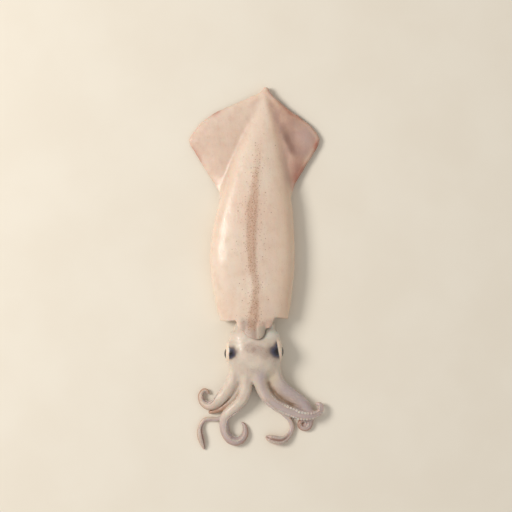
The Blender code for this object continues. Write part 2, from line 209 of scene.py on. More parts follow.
def noise3(p, size, seed):
    """Smooth value noise, about -1 to 1, with features of the given size."""
    q = np.asarray(p, float) / size + seed * 17.31
    i = np.floor(q).astype(np.int64)
    f = q - i
    f = f * f * f * (f * (f * 6 - 15) + 10)

    def corner(dx, dy, dz):
        h = ((i[..., 0] + dx) * 374761393 + (i[..., 1] + dy) * 668265263
             + (i[..., 2] + dz) * 2147483647 + seed * 974634777) & 0xFFFFFFFF
        h = ((h ^ (h >> 13)) * 1274126177) & 0xFFFFFFFF
        h = h ^ (h >> 16)
        return (h & 0xFFFF) / 32767.5 - 1.0

    x, y, z = f[..., 0], f[..., 1], f[..., 2]
    c00 = corner(0, 0, 0) * (1 - x) + corner(1, 0, 0) * x
    c10 = corner(0, 1, 0) * (1 - x) + corner(1, 1, 0) * x
    c01 = corner(0, 0, 1) * (1 - x) + corner(1, 0, 1) * x
    c11 = corner(0, 1, 1) * (1 - x) + corner(1, 1, 1) * x
    return (c00 * (1 - y) + c10 * y) * (1 - z) + (c01 * (1 - y) + c11 * y) * z


# ======================================================================
# Body shapes as signed distances in millimetres
# ======================================================================
def half_width(s):
    s = np.clip(s, 0.0, 1.0)
    rise = MANTLE_HALF_WIDTH * np.sin(0.5 * np.pi * np.minimum(s / WIDEST_AT, 1.0)) ** 1.1
    back = np.maximum(0.0, (s - WIDEST_AT) / (1 - WIDEST_AT))
    return np.maximum(0.9, rise) - (MANTLE_HALF_WIDTH - MARGIN_HALF_WIDTH) * back**1.6


def middle_x(s):
    lean = (TIP_X - BODY_X) * np.maximum(0.0, 1 - s / 0.72) ** 1.25
    return BODY_X + lean + 1.3 * np.maximum(0.0, (s - 0.72) / 0.28) ** 2


def belly_z(s):
    return 1.5 * np.maximum(0.0, 1 - s / 0.16) ** 2


def top_z(s):
    full = MANTLE_HEIGHT * (half_width(s) / MANTLE_HALF_WIDTH) ** 0.72
    back = np.clip((s - WIDEST_AT) / (1 - WIDEST_AT), 0.0, 1.0)
    behind = MANTLE_HEIGHT + (MARGIN_HEIGHT - MANTLE_HEIGHT) * back**1.4
    return np.where(s > WIDEST_AT, behind, full) + belly_z(s)


def oval(x, z, x0, half, low, top, rise=0.38, sink=0.25, inset=0.0):
    """Distance to a flattened oval: a round back and a belly spread flat."""
    waist = low + rise * (top - low)
    up = np.maximum(top - inset - waist, 0.2)
    down = np.maximum(waist - (low - sink) - inset, 0.2)
    above = z > waist
    n = np.where(above, 2.35, 3.2)
    u = np.abs(x - x0) / np.maximum(half - inset, 0.2) + 1e-6
    v = np.where(above, (z - waist) / up, (waist - z) / down) + 1e-6
    q = (u**n + v**n) ** (1.0 / n)
    rho = np.hypot(x - x0, z - waist) + 1e-6
    return rho * (1 - 1 / np.maximum(q, 1e-3))


def outline_distance(x, y, line):
    """Signed distance in plan to a closed outline, negative inside."""
    best = np.full(x.shape, 1e9)
    inside = np.zeros(x.shape, bool)
    for (ax, ay), (bx, by) in zip(line, np.roll(line, -1, axis=0)):
        ex, ey = bx - ax, by - ay
        t = np.clip(((x - ax) * ex + (y - ay) * ey) / (ex * ex + ey * ey + 1e-12), 0, 1)
        best = np.minimum(best, (x - ax - t * ex) ** 2 + (y - ay - t * ey) ** 2)
        if by != ay:
            crosses = (ay > y) != (by > y)
            inside ^= crosses & (x < ax + (y - ay) * ex / ey)
    best = np.sqrt(best)
    return np.where(inside, -best, best)


def fin_outline():
    right = np.vstack([bezier(RIGHT_LEADING, 50), bezier(RIGHT_TRAILING, 50)[1:]])
    left = np.vstack([bezier(LEFT_LEADING, 50), bezier(LEFT_TRAILING, 50)[1:]])
    return right, left


def fin_height(x, y):
    """Middle of the fins' thickness over the plan, and how far out across the fin each point lies."""
    s = (TIP_Y - y) / MANTLE_LENGTH
    x0, half = middle_x(s), half_width(s)
    right, left = fin_outline()
    edge_r = np.interp(y, right[::-1, 1], right[::-1, 0])
    edge_l = np.interp(y, left[::-1, 1], left[::-1, 0])
    out = []
    for side in (1, -1):
        reach = (edge_r - x0 if side > 0 else x0 - edge_l) - 0.9 * half
        spread = smoothstep(-2.0, 26.0, reach)
        u = np.clip((side * (x - x0) - 0.9 * half) / np.maximum(reach, 9.0), 0.0, 1.0)
        droop = smoothstep(0.0, 16.0, reach)
        if side > 0:
            z = 4.8 + 1.6 * spread * np.exp(-(((u - 0.58) / 0.34) ** 2)) - 2.6 * droop * u**4
        else:
            z = 4.8 + 0.5 * spread * np.sin(np.pi * u) - 3.0 * droop * u**1.6
        out.append((z, u))
    mix = smoothstep(-2.0, 2.0, x - x0)
    z = out[1][0] * (1 - mix) + out[0][0] * mix
    u = out[1][1] * (1 - mix) + out[0][1] * mix
    return z, u


def furrow_at(x, y, shade=False):
    """How deep the fold in the right fin is: sharp on its inner side."""
    (ax, ay), (bx, by) = (16.4, 104.5), (26.8, 77.0)
    ex, ey = bx - ax, by - ay
    size = math.hypot(ex, ey)
    along = ((x - ax) * ex + (y - ay) * ey) / size**2
    bend = 1.1 * np.sin(np.pi * np.clip(along, 0, 1))
    t = -((x - ax) * ey - (y - ay) * ex) / size + bend + 0.9
    fade = smoothstep(0.0, 0.5, along) * smoothstep(1.15, 0.75, along)
    # with shade set: the mask of painted shade in the fold, wider than the fold itself
    if shade:
        return fade * smoothstep(-1.6, 1.4, t) * np.exp(-(np.maximum(t - 2.2, 0.0) / 6.2) ** 1.5)
    return fade * smoothstep(-1.8, 4.2, t) * np.exp(-(np.maximum(t - 3.2, 0.0) / 7.5) ** 2)


class Grid:
    """A box of samples of one signed distance."""

    def __init__(self, low, high, step):
        self.low = np.array(low, float)
        self.step = np.array(step, float)
        n = np.ceil((np.array(high, float) - self.low) / self.step).astype(int) + 1
        self.axes = [self.low[k] + np.arange(n[k]) * self.step[k] for k in range(3)]
        self.shape = tuple(n)
        self.d = np.full(self.shape, 40.0, np.float32)

    def block(self, low, high):
        cut = []
        for k in range(3):
            a = int(max(0, math.floor((low[k] - self.low[k]) / self.step[k])))
            b = int(min(self.shape[k], math.ceil((high[k] - self.low[k]) / self.step[k]) + 1))
            cut.append(slice(a, max(a, b)))
        return tuple(cut)

    def points(self, cut=(slice(None), slice(None), slice(None))):
        x = self.axes[0][cut[0]][:, None, None]
        y = self.axes[1][cut[1]][None, :, None]
        z = self.axes[2][cut[2]][None, None, :]
        return x, y, z

    def sample(self, p):
        q = (p - self.low) / self.step
        q = np.clip(q, 0, np.array(self.shape) - 1.001)
        i = q.astype(int)
        f = q - i
        out = 0.0
        for dx in (0, 1):
            for dy in (0, 1):
                for dz in (0, 1):
                    w = ((f[:, 0] if dx else 1 - f[:, 0]) * (f[:, 1] if dy else 1 - f[:, 1])
                         * (f[:, 2] if dz else 1 - f[:, 2]))
                    out = out + w * self.d[i[:, 0] + dx, i[:, 1] + dy, i[:, 2] + dz]
        return out


def untangle(d):
    """Nudges samples where two sheets would share an edge or a point."""
    for _ in range(12):
        inside = d < 0
        flip = []
        for axis in range(3):
            o1, o2 = [(1, 2), (2, 0), (0, 1)][axis]

            def part(s1, s2):
                cut = [slice(None)] * 3
                cut[o1] = slice(s1, inside.shape[o1] - 1 + s1)
                cut[o2] = slice(s2, inside.shape[o2] - 1 + s2)
                return inside[tuple(cut)]

            a, b, c, e = part(0, 0), part(1, 0), part(1, 1), part(0, 1)
            for where in np.argwhere((a == c) & (b == e) & (a != b)):
                ring = []
                for s1, s2 in ((0, 0), (1, 0), (1, 1), (0, 1)):
                    p = where.copy()
                    p[o1] += s1
                    p[o2] += s2
                    ring.append(tuple(p))
                ring = [p for p in ring if inside[p]]
                flip.append(max(ring, key=lambda p: d[p]))
        full = np.stack([inside[x:inside.shape[0] - 1 + x, y:inside.shape[1] - 1 + y, z:inside.shape[2] - 1 + z]
                         for x in (0, 1) for y in (0, 1) for z in (0, 1)])
        total = full.sum(0)
        fill = []
        for k in range(4):
            pair = full[k] & full[7 - k] & (total == 2)
            gap = ~full[k] & ~full[7 - k] & (total == 6)
            near = np.array([(k >> 2) & 1, (k >> 1) & 1, k & 1])
            for where in np.argwhere(pair):
                flip.append(max((tuple(where + near), tuple(where + 1 - near)), key=lambda p: d[p]))
            for where in np.argwhere(gap):
                fill.append(min((tuple(where + near), tuple(where + 1 - near)), key=lambda p: d[p]))
        if not flip and not fill:
            break
        for p in flip:
            d[p] = 0.02
        for p in fill:
            d[p] = -0.02
    return d


def surface(grid, settle=3, fair=8):
    """Quads over the zero level of a grid, with their points settled on it."""
    d = untangle(grid.d)
    inside = d < 0
    nx, ny, nz = d.shape
    count = np.zeros((nx - 1, ny - 1, nz - 1), np.int8)
    for dx in (0, 1):
        for dy in (0, 1):
            for dz in (0, 1):
                count += inside[dx:nx - 1 + dx, dy:ny - 1 + dy, dz:nz - 1 + dz]
    cells = np.argwhere((count > 0) & (count < 8))
    index = np.full(count.shape, -1, np.int32)
    index[tuple(cells.T)] = np.arange(len(cells))
    total = np.zeros((len(cells), 3))
    hits = np.zeros(len(cells))
    corners = [(a, b, c) for a in (0, 1) for b in (0, 1) for c in (0, 1)]
    for a in corners:
        for axis in range(3):
            if a[axis]:
                continue
            b = list(a)
            b[axis] = 1
            va = d[cells[:, 0] + a[0], cells[:, 1] + a[1], cells[:, 2] + a[2]].astype(float)
            vb = d[cells[:, 0] + b[0], cells[:, 1] + b[1], cells[:, 2] + b[2]].astype(float)
            cross = (va < 0) != (vb < 0)
            t = np.where(cross, va / np.where(cross, va - vb, 1.0), 0.0)
            at = np.array(a, float)[None, :] + t[:, None] * (np.array(b) - np.array(a))[None, :]
            total += at * cross[:, None]
            hits += cross
    verts = (cells + total / hits[:, None]) * grid.step + grid.low
    quads = []
    for axis in range(3):
        o1, o2 = [(1, 2), (2, 0), (0, 1)][axis]
        a = [slice(None)] * 3
        b = [slice(None)] * 3
        a[axis], b[axis] = slice(0, -1), slice(1, None)
        for o in (o1, o2):
            a[o] = b[o] = slice(1, -1)
        first, second = inside[tuple(a)], inside[tuple(b)]
        for flip in (False, True):
            where = np.argwhere((~first & second) if flip else (first & ~second))
            if not len(where):
                continue
            base = where.copy()
            base[:, o1] += 1
            base[:, o2] += 1
            loop = []
            for s1, s2 in ((-1, -1), (0, -1), (0, 0), (-1, 0)):
                c = base.copy()
                c[:, o1] += s1
                c[:, o2] += s2
                loop.append(index[c[:, 0], c[:, 1], c[:, 2]])
            q = np.stack(loop, axis=1)
            quads.append(q[:, ::-1] if flip else q)
    quads = np.concatenate(quads)
    edges = np.concatenate([quads[:, [0, 1]], quads[:, [1, 2]], quads[:, [2, 3]], quads[:, [3, 0]]])
    degree = np.bincount(edges[:, 0], minlength=len(verts)) + 1e-9
    for _ in range(settle):
        mean = np.stack([np.bincount(edges[:, 0], weights=verts[edges[:, 1], k], minlength=len(verts))
                         for k in range(3)], axis=1) / degree[:, None]
        verts = verts + 0.5 * (mean - verts)
        e = 0.5 * grid.step.min()
        v = grid.sample(verts)
        g = np.stack([(grid.sample(verts + e * np.eye(3)[k]) - grid.sample(verts - e * np.eye(3)[k])) / (2 * e)
                      for k in range(3)], axis=1)
        size = np.maximum((g**2).sum(1), 0.2)
        move = -(v / size)[:, None] * g
        far = np.linalg.norm(move, axis=1)
        verts = verts + move * np.minimum(1.0, 0.5 / np.maximum(far, 1e-9))[:, None]
    # smooth out the steps of the grid without shrinking
    for amount in (0.55, -0.58) * fair:
        mean = np.stack([np.bincount(edges[:, 0], weights=verts[edges[:, 1], k], minlength=len(verts))
                         for k in range(3)], axis=1) / degree[:, None]
        verts = verts + amount * (mean - verts)
    return verts, quads


def keep_largest(verts, quads):
    """Drops anything that isn't joined to the largest piece."""
    label = np.arange(len(verts))
    a = np.concatenate([quads[:, 0], quads[:, 1], quads[:, 2]])
    b = np.concatenate([quads[:, 1], quads[:, 2], quads[:, 3]])
    for _ in range(400):
        low = np.minimum(label[a], label[b])
        new = label.copy()
        np.minimum.at(new, a, low)
        np.minimum.at(new, b, low)
        new = new[new]
        if (new == label).all():
            break
        label = new
    names, sizes = np.unique(label, return_counts=True)
    keep = label == names[sizes.argmax()]
    where = np.cumsum(keep) - 1
    quads = quads[keep[quads].all(axis=1)]
    return verts[keep], where[quads]


def mesh_object(name, verts, faces, smooth=True):
    mesh = bpy.data.meshes.new(name)
    faces = np.asarray(faces, np.int32)
    mesh.vertices.add(len(verts))
    mesh.vertices.foreach_set("co", (np.asarray(verts, np.float32) * np.float32(MM)).ravel())
    mesh.loops.add(faces.size)
    mesh.loops.foreach_set("vertex_index", faces.ravel())
    mesh.polygons.add(len(faces))
    mesh.polygons.foreach_set("loop_start", np.arange(0, faces.size, faces.shape[1], dtype=np.int32))
    mesh.update(calc_edges=True)
    mesh.validate()
    if smooth:
        mesh.shade_smooth()
    made = bpy.data.objects.new(name, mesh)
    bpy.context.scene.collection.objects.link(made)
    return made


def paint(obj, name, values):
    """Stores four numbers a point, for the material to read."""
    layer = obj.data.color_attributes.new(name, "FLOAT_COLOR", "POINT")
    full = np.ones((len(obj.data.vertices), 4), np.float32)
    full[:, :values.shape[1]] = values
    layer.data.foreach_set("color", full.ravel())


def normals_of(obj):
    n = np.zeros(len(obj.data.vertices) * 3, np.float32)
    obj.data.vertices.foreach_get("normal", n)
    return n.reshape(-1, 3).astype(float)


# ======================================================================
# Mantle, fins and the flap over the neck
# ======================================================================
def build_mantle():
    step = (0.62, 0.62, 0.42)
    grid = Grid((-49.5, -52.5, -0.9), (45.8, 128.8, 22.4), step)
    x, y, z = grid.points()
    s_raw = (TIP_Y - y) / MANTLE_LENGTH
    s = np.clip(s_raw, 0.0, 1.0)
    x0, half, low, top = middle_x(s), half_width(s), belly_z(s), top_z(s)
    shell = oval(x, z, x0, half, low, top)
    # a faint keel over the pen, and a slack dent or two in the soft tube
    side = (x - x0) / np.maximum(half, 1.0)
    keel = 0.30 * np.exp(-((x - x0) / 2.6) ** 2) * smoothstep(0.22, 0.42, s) * smoothstep(3.0, 9.0, z)
    dent = (0.55 * np.exp(-(((y - 8.0) / 26.0) ** 2) - ((side - 0.42) / 0.26) ** 2)
            + 0.45 * np.exp(-(((y + 20.0) / 16.0) ** 2) - ((side + 0.45) / 0.24) ** 2)
            + 0.35 * np.exp(-(((y - 52.0) / 20.0) ** 2) - ((side + 0.5) / 0.25) ** 2)
            + 1.6 * np.exp(-(((y + 40.0) / 11.0) ** 2)) * smoothstep(0.12, 0.6, side) * smoothstep(1.0, 0.78, side)
            + 0.5 * np.exp(-(((y + 38.0) / 5.0) ** 2) - ((side + 0.05) / 0.05) ** 2))
    shell = shell - keel + dent * smoothstep(6.0, 9.0, z)
    # front edge, a little wavy, and the open mouth of the tube behind it
    front = TIP_Y - MANTLE_LENGTH + 0.30 * np.sin(x * 0.33 + 0.8) + 0.22 * np.sin(x * 0.71) - 0.5 
    front = front + 0.7 * smoothstep(5.0, 11.0, x) + 1.9 * np.exp(-((x - 14.2) / 3.6) ** 2)
    body = smax(shell, front - y, 1.0)
    hollow = oval(x, z, x0, half, low, top, inset=WALL)
    hollow = smax(hollow, y - (front + MOUTH_DEPTH), 3.0)
    body = smax(body, -hollow, 1.3)
    # closed tip
    body = smax(body, y - (TIP_Y + 0.6), 1.2)

    # fins: one thin sheet through the mantle
    px, py = grid.axes[0][:, None], grid.axes[1][None, :]
    px, py = np.broadcast_arrays(px, py)
    right, left = fin_outline()
    loop = np.vstack([right, left[::-1]])
    plan = outline_distance(px, py, loop)
    # slightly uneven edge
    p2 = np.stack([px, py, np.zeros_like(px)], axis=-1)
    plan = plan + 0.26 * noise3(p2, 6.0, 3) + 0.16 * noise3(p2, 2.6, 4) - 0.10
    zm, u = fin_height(px, py)
    inner = np.maximum(-plan, 0.0)
    thick = 1.15 + 1.7 * np.clip(inner / 10.0, 0, 1) ** 0.8
    right_side = smoothstep(-5.0, 5.0, px - middle_x((TIP_Y - py) / MANTLE_LENGTH))
    # a rolled, thickened rim on the right fin and soft waves in the sheet
    rim = np.exp(-((inner - 1.3) / 1.1) ** 2) * right_side
    thick = thick + 0.45 * rim
    zm = zm + 0.30 * rim + 0.28 * noise3(p2, 13.0, 5) * np.clip(u * 2, 0, 1)
    zm = zm + 0.10 * np.sin(py * 0.55 + 0.25 * px) * u**2
    zm = zm - 1.7 * furrow_at(px, py)
    zm = np.maximum(zm, 0.62 * thick)
    gx, gy = np.gradient(zm, step[0], step[1])
    slope = 1.0 / np.sqrt(1 + gx**2 + gy**2)
    r = 0.5 * thick * (0.35 + 0.65 * smoothstep(46.0, 62.0, py))
    q1 = (plan + r)[:, :, None]
    sheet = np.hypot(np.maximum(q1, 0), (z - zm[:, :, None]) * slope[:, :, None]) - r[:, :, None]
    fillet = (4.0 + 2.5 * right_side * smoothstep(50.0, 66.0, py))[:, :, None]
    body = smin(body, sheet, fillet)

    # flap of the back edge lying over the neck
    st = smooth_route([(a, b, c) for a, b, c in FLAP_STATIONS], 0.5)[::-1]
    fy = np.clip(py, -49.6, -30.0)
    hw = np.interp(fy, st[:, 0], st[:, 1])
    ft = np.interp(fy, st[:, 0], st[:, 2])
    v = np.clip((px - FLAP_X) / np.maximum(hw, 1.0), -1.3, 1.3)
    edge = smooth_route(FLAP_EDGE, 0.5)[:, :2]
    plan_f = outline_distance(px, py, edge) + 0.18 * noise3(p2, 3.0, 7)
    th = 2.0 - 0.5 * smoothstep(-42.0, -49.5, py)
    zf = ft - 0.5 * th - 0.12 * hw * v * v
    free = smoothstep(-33.0, -38.0, py)
    fold = (0.42 * np.exp(-((px - 2.9) / 2.0) ** 2) - 0.34 * np.exp(-((px + 0.4) / 1.0) ** 2)
            - 0.20 * np.exp(-((px - 6.2) / 1.1) ** 2) * smoothstep(-37.0, -40.0, py) + 0.22 * np.exp(-((px + 3.8) / 1.8) ** 2)
            + 0.25 * np.exp(-((px - 9.2) / 1.6) ** 2)
            - 0.25 * np.exp(-((px + 8.2) / 1.1) ** 2))
    crease = np.exp(-((py + 39.6 + 0.16 * (px + 3.6)) / 0.55) ** 2) * smoothstep(-7.6, -6.0, px) * smoothstep(0.2, -1.2, px)
    zf = zf + fold * free - 0.45 * crease
    rf = 0.5 * th
    q1 = (plan_f + rf)[:, :, None]
    flap = np.hypot(np.maximum(q1, 0), z - zf[:, :, None]) - rf[:, :, None]
    body = smin(body, np.where((py < -26.0)[:, :, None], flap, 40.0), 1.1)

    # soft unevenness of the flesh
    xx, yy, zz = np.broadcast_arrays(x, y, z)
    near = np.abs(body) < 2.0
    p3 = np.stack([xx[near], yy[near], zz[near]], axis=-1)
    body = np.ascontiguousarray(np.broadcast_to(body, grid.shape)).astype(np.float32)
    body[near] += (0.22 * noise3(p3, 17.0, 1) + 0.10 * noise3(p3 * (1, 0.6, 1), 5.0, 2)
                   + 0.035 * noise3(p3, 1.9, 6)).astype(np.float32)
    away = np.abs(x - TIP_X)
    body = smax(body, np.broadcast_to(y - (TIP_Y + 0.35) + np.minimum(0.12 * away**2, 0.45 * away), grid.shape), 1.0)
    grid.d = smax(body, np.broadcast_to(0.04 - z, grid.shape), 0.25).astype(np.float32)
    verts, quads = keep_largest(*surface(grid))
    verts[:, 2] = np.maximum(verts[:, 2], 0.0)
    made = mesh_object("mantle_and_fins", verts, quads)

    # what the material needs to know at each point
    vx, vy, vz = verts.T
    s = (TIP_Y - vy) / MANTLE_LENGTH
    off = vx - middle_x(np.clip(s, 0, 1))
    n = normals_of(made)
    up = np.clip(n[:, 2], 0, 1)
    wander = 0.35 * noise3(np.stack([vx * 0, vy, vz * 0], 1), 5.0, 15)
    stripe_x = vx - wander - np.interp(
        vy, [-46, -40, -30, -24, -18, -13, -7, -2, 4, 15, 32, 43, 49, 55, 60, 66, 77, 95],
        [-2.8, -2.8, -1.8, -1.0, -1.4, 0.0, -0.8, -2.7, -3.4, -3.8, -3.6, -3.1, -2.5, -1.5, -1.1, -0.3, 0.4, 1.6])
    width = np.interp(vy, [-50, -36, -24, -8, 4, 15, 43, 49, 60, 77], [4.2, 3.5, 2.9, 3.2, 2.6, 3.0, 3.5, 3.0, 2.6, 2.8])
    dense = np.interp(vy, [-50, -44.5, -39, -26, -21, -10, -3, 3, 10, 45, 52, 60, 72, 84, 96],
                      [0.0, 0.12, 0.9, 1.0, 0.62, 0.5, 0.6, 0.9, 1.0, 1.0, 0.8, 0.62, 0.42, 0.2, 0.0])
    halo = 0.22 * np.exp(-((stripe_x / (2.6 * width)) ** 2))
    stripe = (np.exp(-np.abs(stripe_x / width) ** 2.6) + halo) * dense * smoothstep(0.1, 0.5, up) * (vz > 6)
    stripe = np.clip(stripe, 0, 1)
    d2 = outline_distance(vx, vy, loop)
    side_r = off > 0
    fin_part = smoothstep(-3.6, 2.6, np.abs(off) - 0.97 * half_width(np.clip(s, 0, 1))) * smoothstep(47.0, 64.0, vy)
    edge = np.exp(-np.maximum(-d2, 0.0) / 1.9) * smoothstep(48.0, 62.0, vy)
    patch = noise3(np.stack([vx, vy, vz * 0], 1), 9.0, 11) * 0.5 + 0.5
    left_spots = (np.exp(-(((vx + 43.0) / 5.0) ** 2 + ((vy - 79.0) / 9.0) ** 2))
                  + 0.8 * np.exp(-(((vx + 29.0) / 7.0) ** 2 + ((vy - 108.5) / 5.0) ** 2)))
    right_spots = (0.9 * np.exp(-(((vx - 24.5) / 7.0) ** 2 + ((vy - 108.5 + 0.55 * (vx - 24.5)) / 4.5) ** 2))
                   + 0.8 * np.exp(-(((vx - 41.5) / 2.2) ** 2 + ((vy - 86.5) / 4.0) ** 2))
                   + 0.6 * np.exp(-(((vx - 31.6) / 3.6) ** 2 + ((vy - 70.5) / 6.5) ** 2))
                   + 0.75 * np.exp(-(((vx - 25.6) / 3.8) ** 2 + ((vy - 64.0) / 5.5) ** 2)))
    edge_wide = np.exp(-(np.maximum(-d2, 0.0) / 4.2) ** 1.3) * smoothstep(48.0, 62.0, vy)
    rim_col = np.where(side_r, edge * (0.45 + 0.3 * patch) + 1.25 * edge_wide * right_spots,
                       edge * (0.12 + left_spots)) * fin_part
    rim_col = np.clip(rim_col, 0, 1)
    # the fins' own mauve-grey tint, faint on the left and at full strength on the shaded right fin as painted shade
    mauve_and_shade = np.where(side_r, 1.0, 0.25) * fin_part * smoothstep(0.6, 6.0, -d2)
    # painted shade in the fold of the right fin
    furrow_shade = np.clip(furrow_at(vx, vy, True), 0, 1) * side_r * up
    paint(made, "marks", np.stack([stripe, rim_col, mauve_and_shade, furrow_shade], axis=1))
    # painted shade: the front edge of the tube made darker, except on its lit left side
    margin_shade = smoothstep(-33.0, -37.0, vy) * smoothstep(3.0, 9.0, vx)
    margin_shade = np.maximum(margin_shade, 0.9 * smoothstep(-35.0, -38.0, vy) * smoothstep(-6.0, -1.0, vx))
    pink = np.clip(0.5 + 0.5 * noise3(verts, 22.0, 12), 0, 1)
    # painted warm bounce light: the shaded right side of the mantle gets a warmer, more orange colour
    flank_bounce_light = smoothstep(0.35, 1.0, np.abs(off) / np.maximum(half_width(np.clip(s, 0, 1)), 1.0)) * side_r * (vy < 118)
    # painted light: the lit bulge of the right fin made paler
    swell_light = np.exp(-(((vx - 34.5) / 7.5) ** 2 + ((vy - 91.0) / 11.0) ** 2)) * side_r * (vy > 44)
    low_red = np.exp(-(((vx - 27.3) / 6.0) ** 2 + ((vy - 66.5) / 9.0) ** 2)) * fin_part * side_r
    ratio = np.abs(off) / np.maximum(half_width(np.clip(s, 0, 1)), 1.0)
    # painted light: the shaded hollow at the foot of the right fin made paler
    foot_light = np.exp(-(((ratio - 1.06) / 0.22) ** 2)) * side_r * smoothstep(46.0, 58.0, vy) * smoothstep(104.0, 84.0, vy)
    lobe = smoothstep(-32.0, -38.0, vy) * smoothstep(-13.0, -9.0, vx) * smoothstep(1.5, -1.5, vx)
    paint(made, "film", np.stack([swell_light, low_red, foot_light, lobe], axis=1))
    tongue = smoothstep(-38.5, -41.0, vy) * smoothstep(-0.9, 0.9, vx) * smoothstep(6.6, 5.4, vx)
    paint(made, "tones", np.stack([margin_shade, pink, flank_bounce_light, tongue], axis=1))
    return made


# ======================================================================
# Head, arms and tentacles
# ======================================================================
class Limb:
    def __init__(self, name):
        self.name = name
        p = smooth_route(ROUTES[name], 0.8)
        if name == "arm_r3":
            extra = []
            n = 44
            for i in range(n):
                t = (i + 1) / n
                a = CURL_START - 2 * math.pi * CURL_TURNS * t
                r = CURL_RADII[0] + (CURL_RADII[1] - CURL_RADII[0]) * t
                tube = CURL_TUBE[0] + (CURL_TUBE[1] - CURL_TUBE[0]) * t
                extra.append((CURL_MIDDLE[0] + r * math.cos(a), CURL_MIDDLE[1] + r * math.sin(a),
                              tube + 0.1 + 0.9 * t, tube))
            p = smooth_route(np.vstack([p[::4], extra[::3]]), 0.8)
        self.p, self.r = p[:, :3], p[:, 3]
        t = np.gradient(self.p, axis=0)
        self.t = t / np.linalg.norm(t, axis=1)[:, None]
        up = np.array([0.0, 0.0, 1.0])
        flat = up - self.t * (self.t @ up)[:, None]
        flat /= np.linalg.norm(flat, axis=1)[:, None]
        side = np.cross(self.t, flat)
        self.s = np.linspace(0.0, 1.0, len(self.p))
        a0, a1 = (math.radians(v) for v in ORAL[name])
        a = a0 + (a1 - a0) * smoothstep(0.15, 0.75, self.s)
        self.n = np.cos(a)[:, None] * flat + np.sin(a)[:, None] * side
        self.b = np.cross(self.t, self.n)
        self.turn = a
        self.arm = name.startswith("arm")
        self.club = np.zeros(len(self.p)) if self.arm else smoothstep(0.72, 0.84, self.s)
        self.wide, self.tall = SPREAD.get(name, (1.05, 0.94))

    def shape(self, phi, s, club, turn):
        """Radius factor round the limb: phi is 90 degrees on the sucker side."""
        psi = (phi - math.pi / 2 + math.pi) % (2 * math.pi) - math.pi
        level = np.sin(psi - turn) ** 2
        g = 1.0 / np.sqrt(level / self.wide**2 + (1 - level) / self.tall**2)
        if self.arm:
            # flat sucker side between two low skirts, and a keel on the back
            g = g * (1.0 - 0.13 * np.exp(-(psi / 0.62) ** 2)
                     + 0.045 * np.exp(-((np.abs(psi) - 1.12) / 0.20) ** 2)
                     + 0.05 * np.exp(-((np.abs(psi) - math.pi) / 0.34) ** 2)
                     + 0.012 * np.cos(7 * psi + 1.5 * np.sin(9 * s)))
        else:
            g = g * (1.0 - 0.24 * np.exp(-(psi / 0.34) ** 2) * club
                     - 0.05 * np.exp(-(psi / 0.5) ** 2) * (1 - club))
        return g


def limb_distance(grid, limb):
    d = np.full(grid.shape, 40.0, np.float32)
    reach = 3.2
    for i in range(len(limb.p) - 1):
        a, b = limb.p[i], limb.p[i + 1]
        ra, rb = limb.r[i], limb.r[i + 1]
        pad = max(ra, rb) * 1.15 + reach
        cut = grid.block(np.minimum(a, b) - pad, np.maximum(a, b) + pad)
        x, y, z = grid.points(cut)
        if 0 in (x.size, y.size, z.size):
            continue
        ab = b - a
        t = ((x - a[0]) * ab[0] + (y - a[1]) * ab[1] + (z - a[2]) * ab[2]) / (ab @ ab)
        t = np.clip(t, 0, 1)
        wx, wy, wz = x - a[0] - t * ab[0], y - a[1] - t * ab[1], z - a[2] - t * ab[2]
        n = limb.n[i] + limb.n[i + 1]
        n /= np.linalg.norm(n)
        bb = limb.b[i] + limb.b[i + 1]
        bb /= np.linalg.norm(bb)
        v = wx * n[0] + wy * n[1] + wz * n[2]
        u = wx * bb[0] + wy * bb[1] + wz * bb[2]
        rho = np.sqrt(wx * wx + wy * wy + wz * wz)
        r = ra + (rb - ra) * t
        g = limb.shape(np.arctan2(v, u), limb.s[i], limb.club[i], limb.turn[i])
        d[cut] = np.minimum(d[cut], (rho - r * g).astype(np.float32))
    return d


def head_tables():
    st = smooth_route([(a, b, c) for a, b, c in HEAD_STATIONS], 0.5)[::-1]
    return st


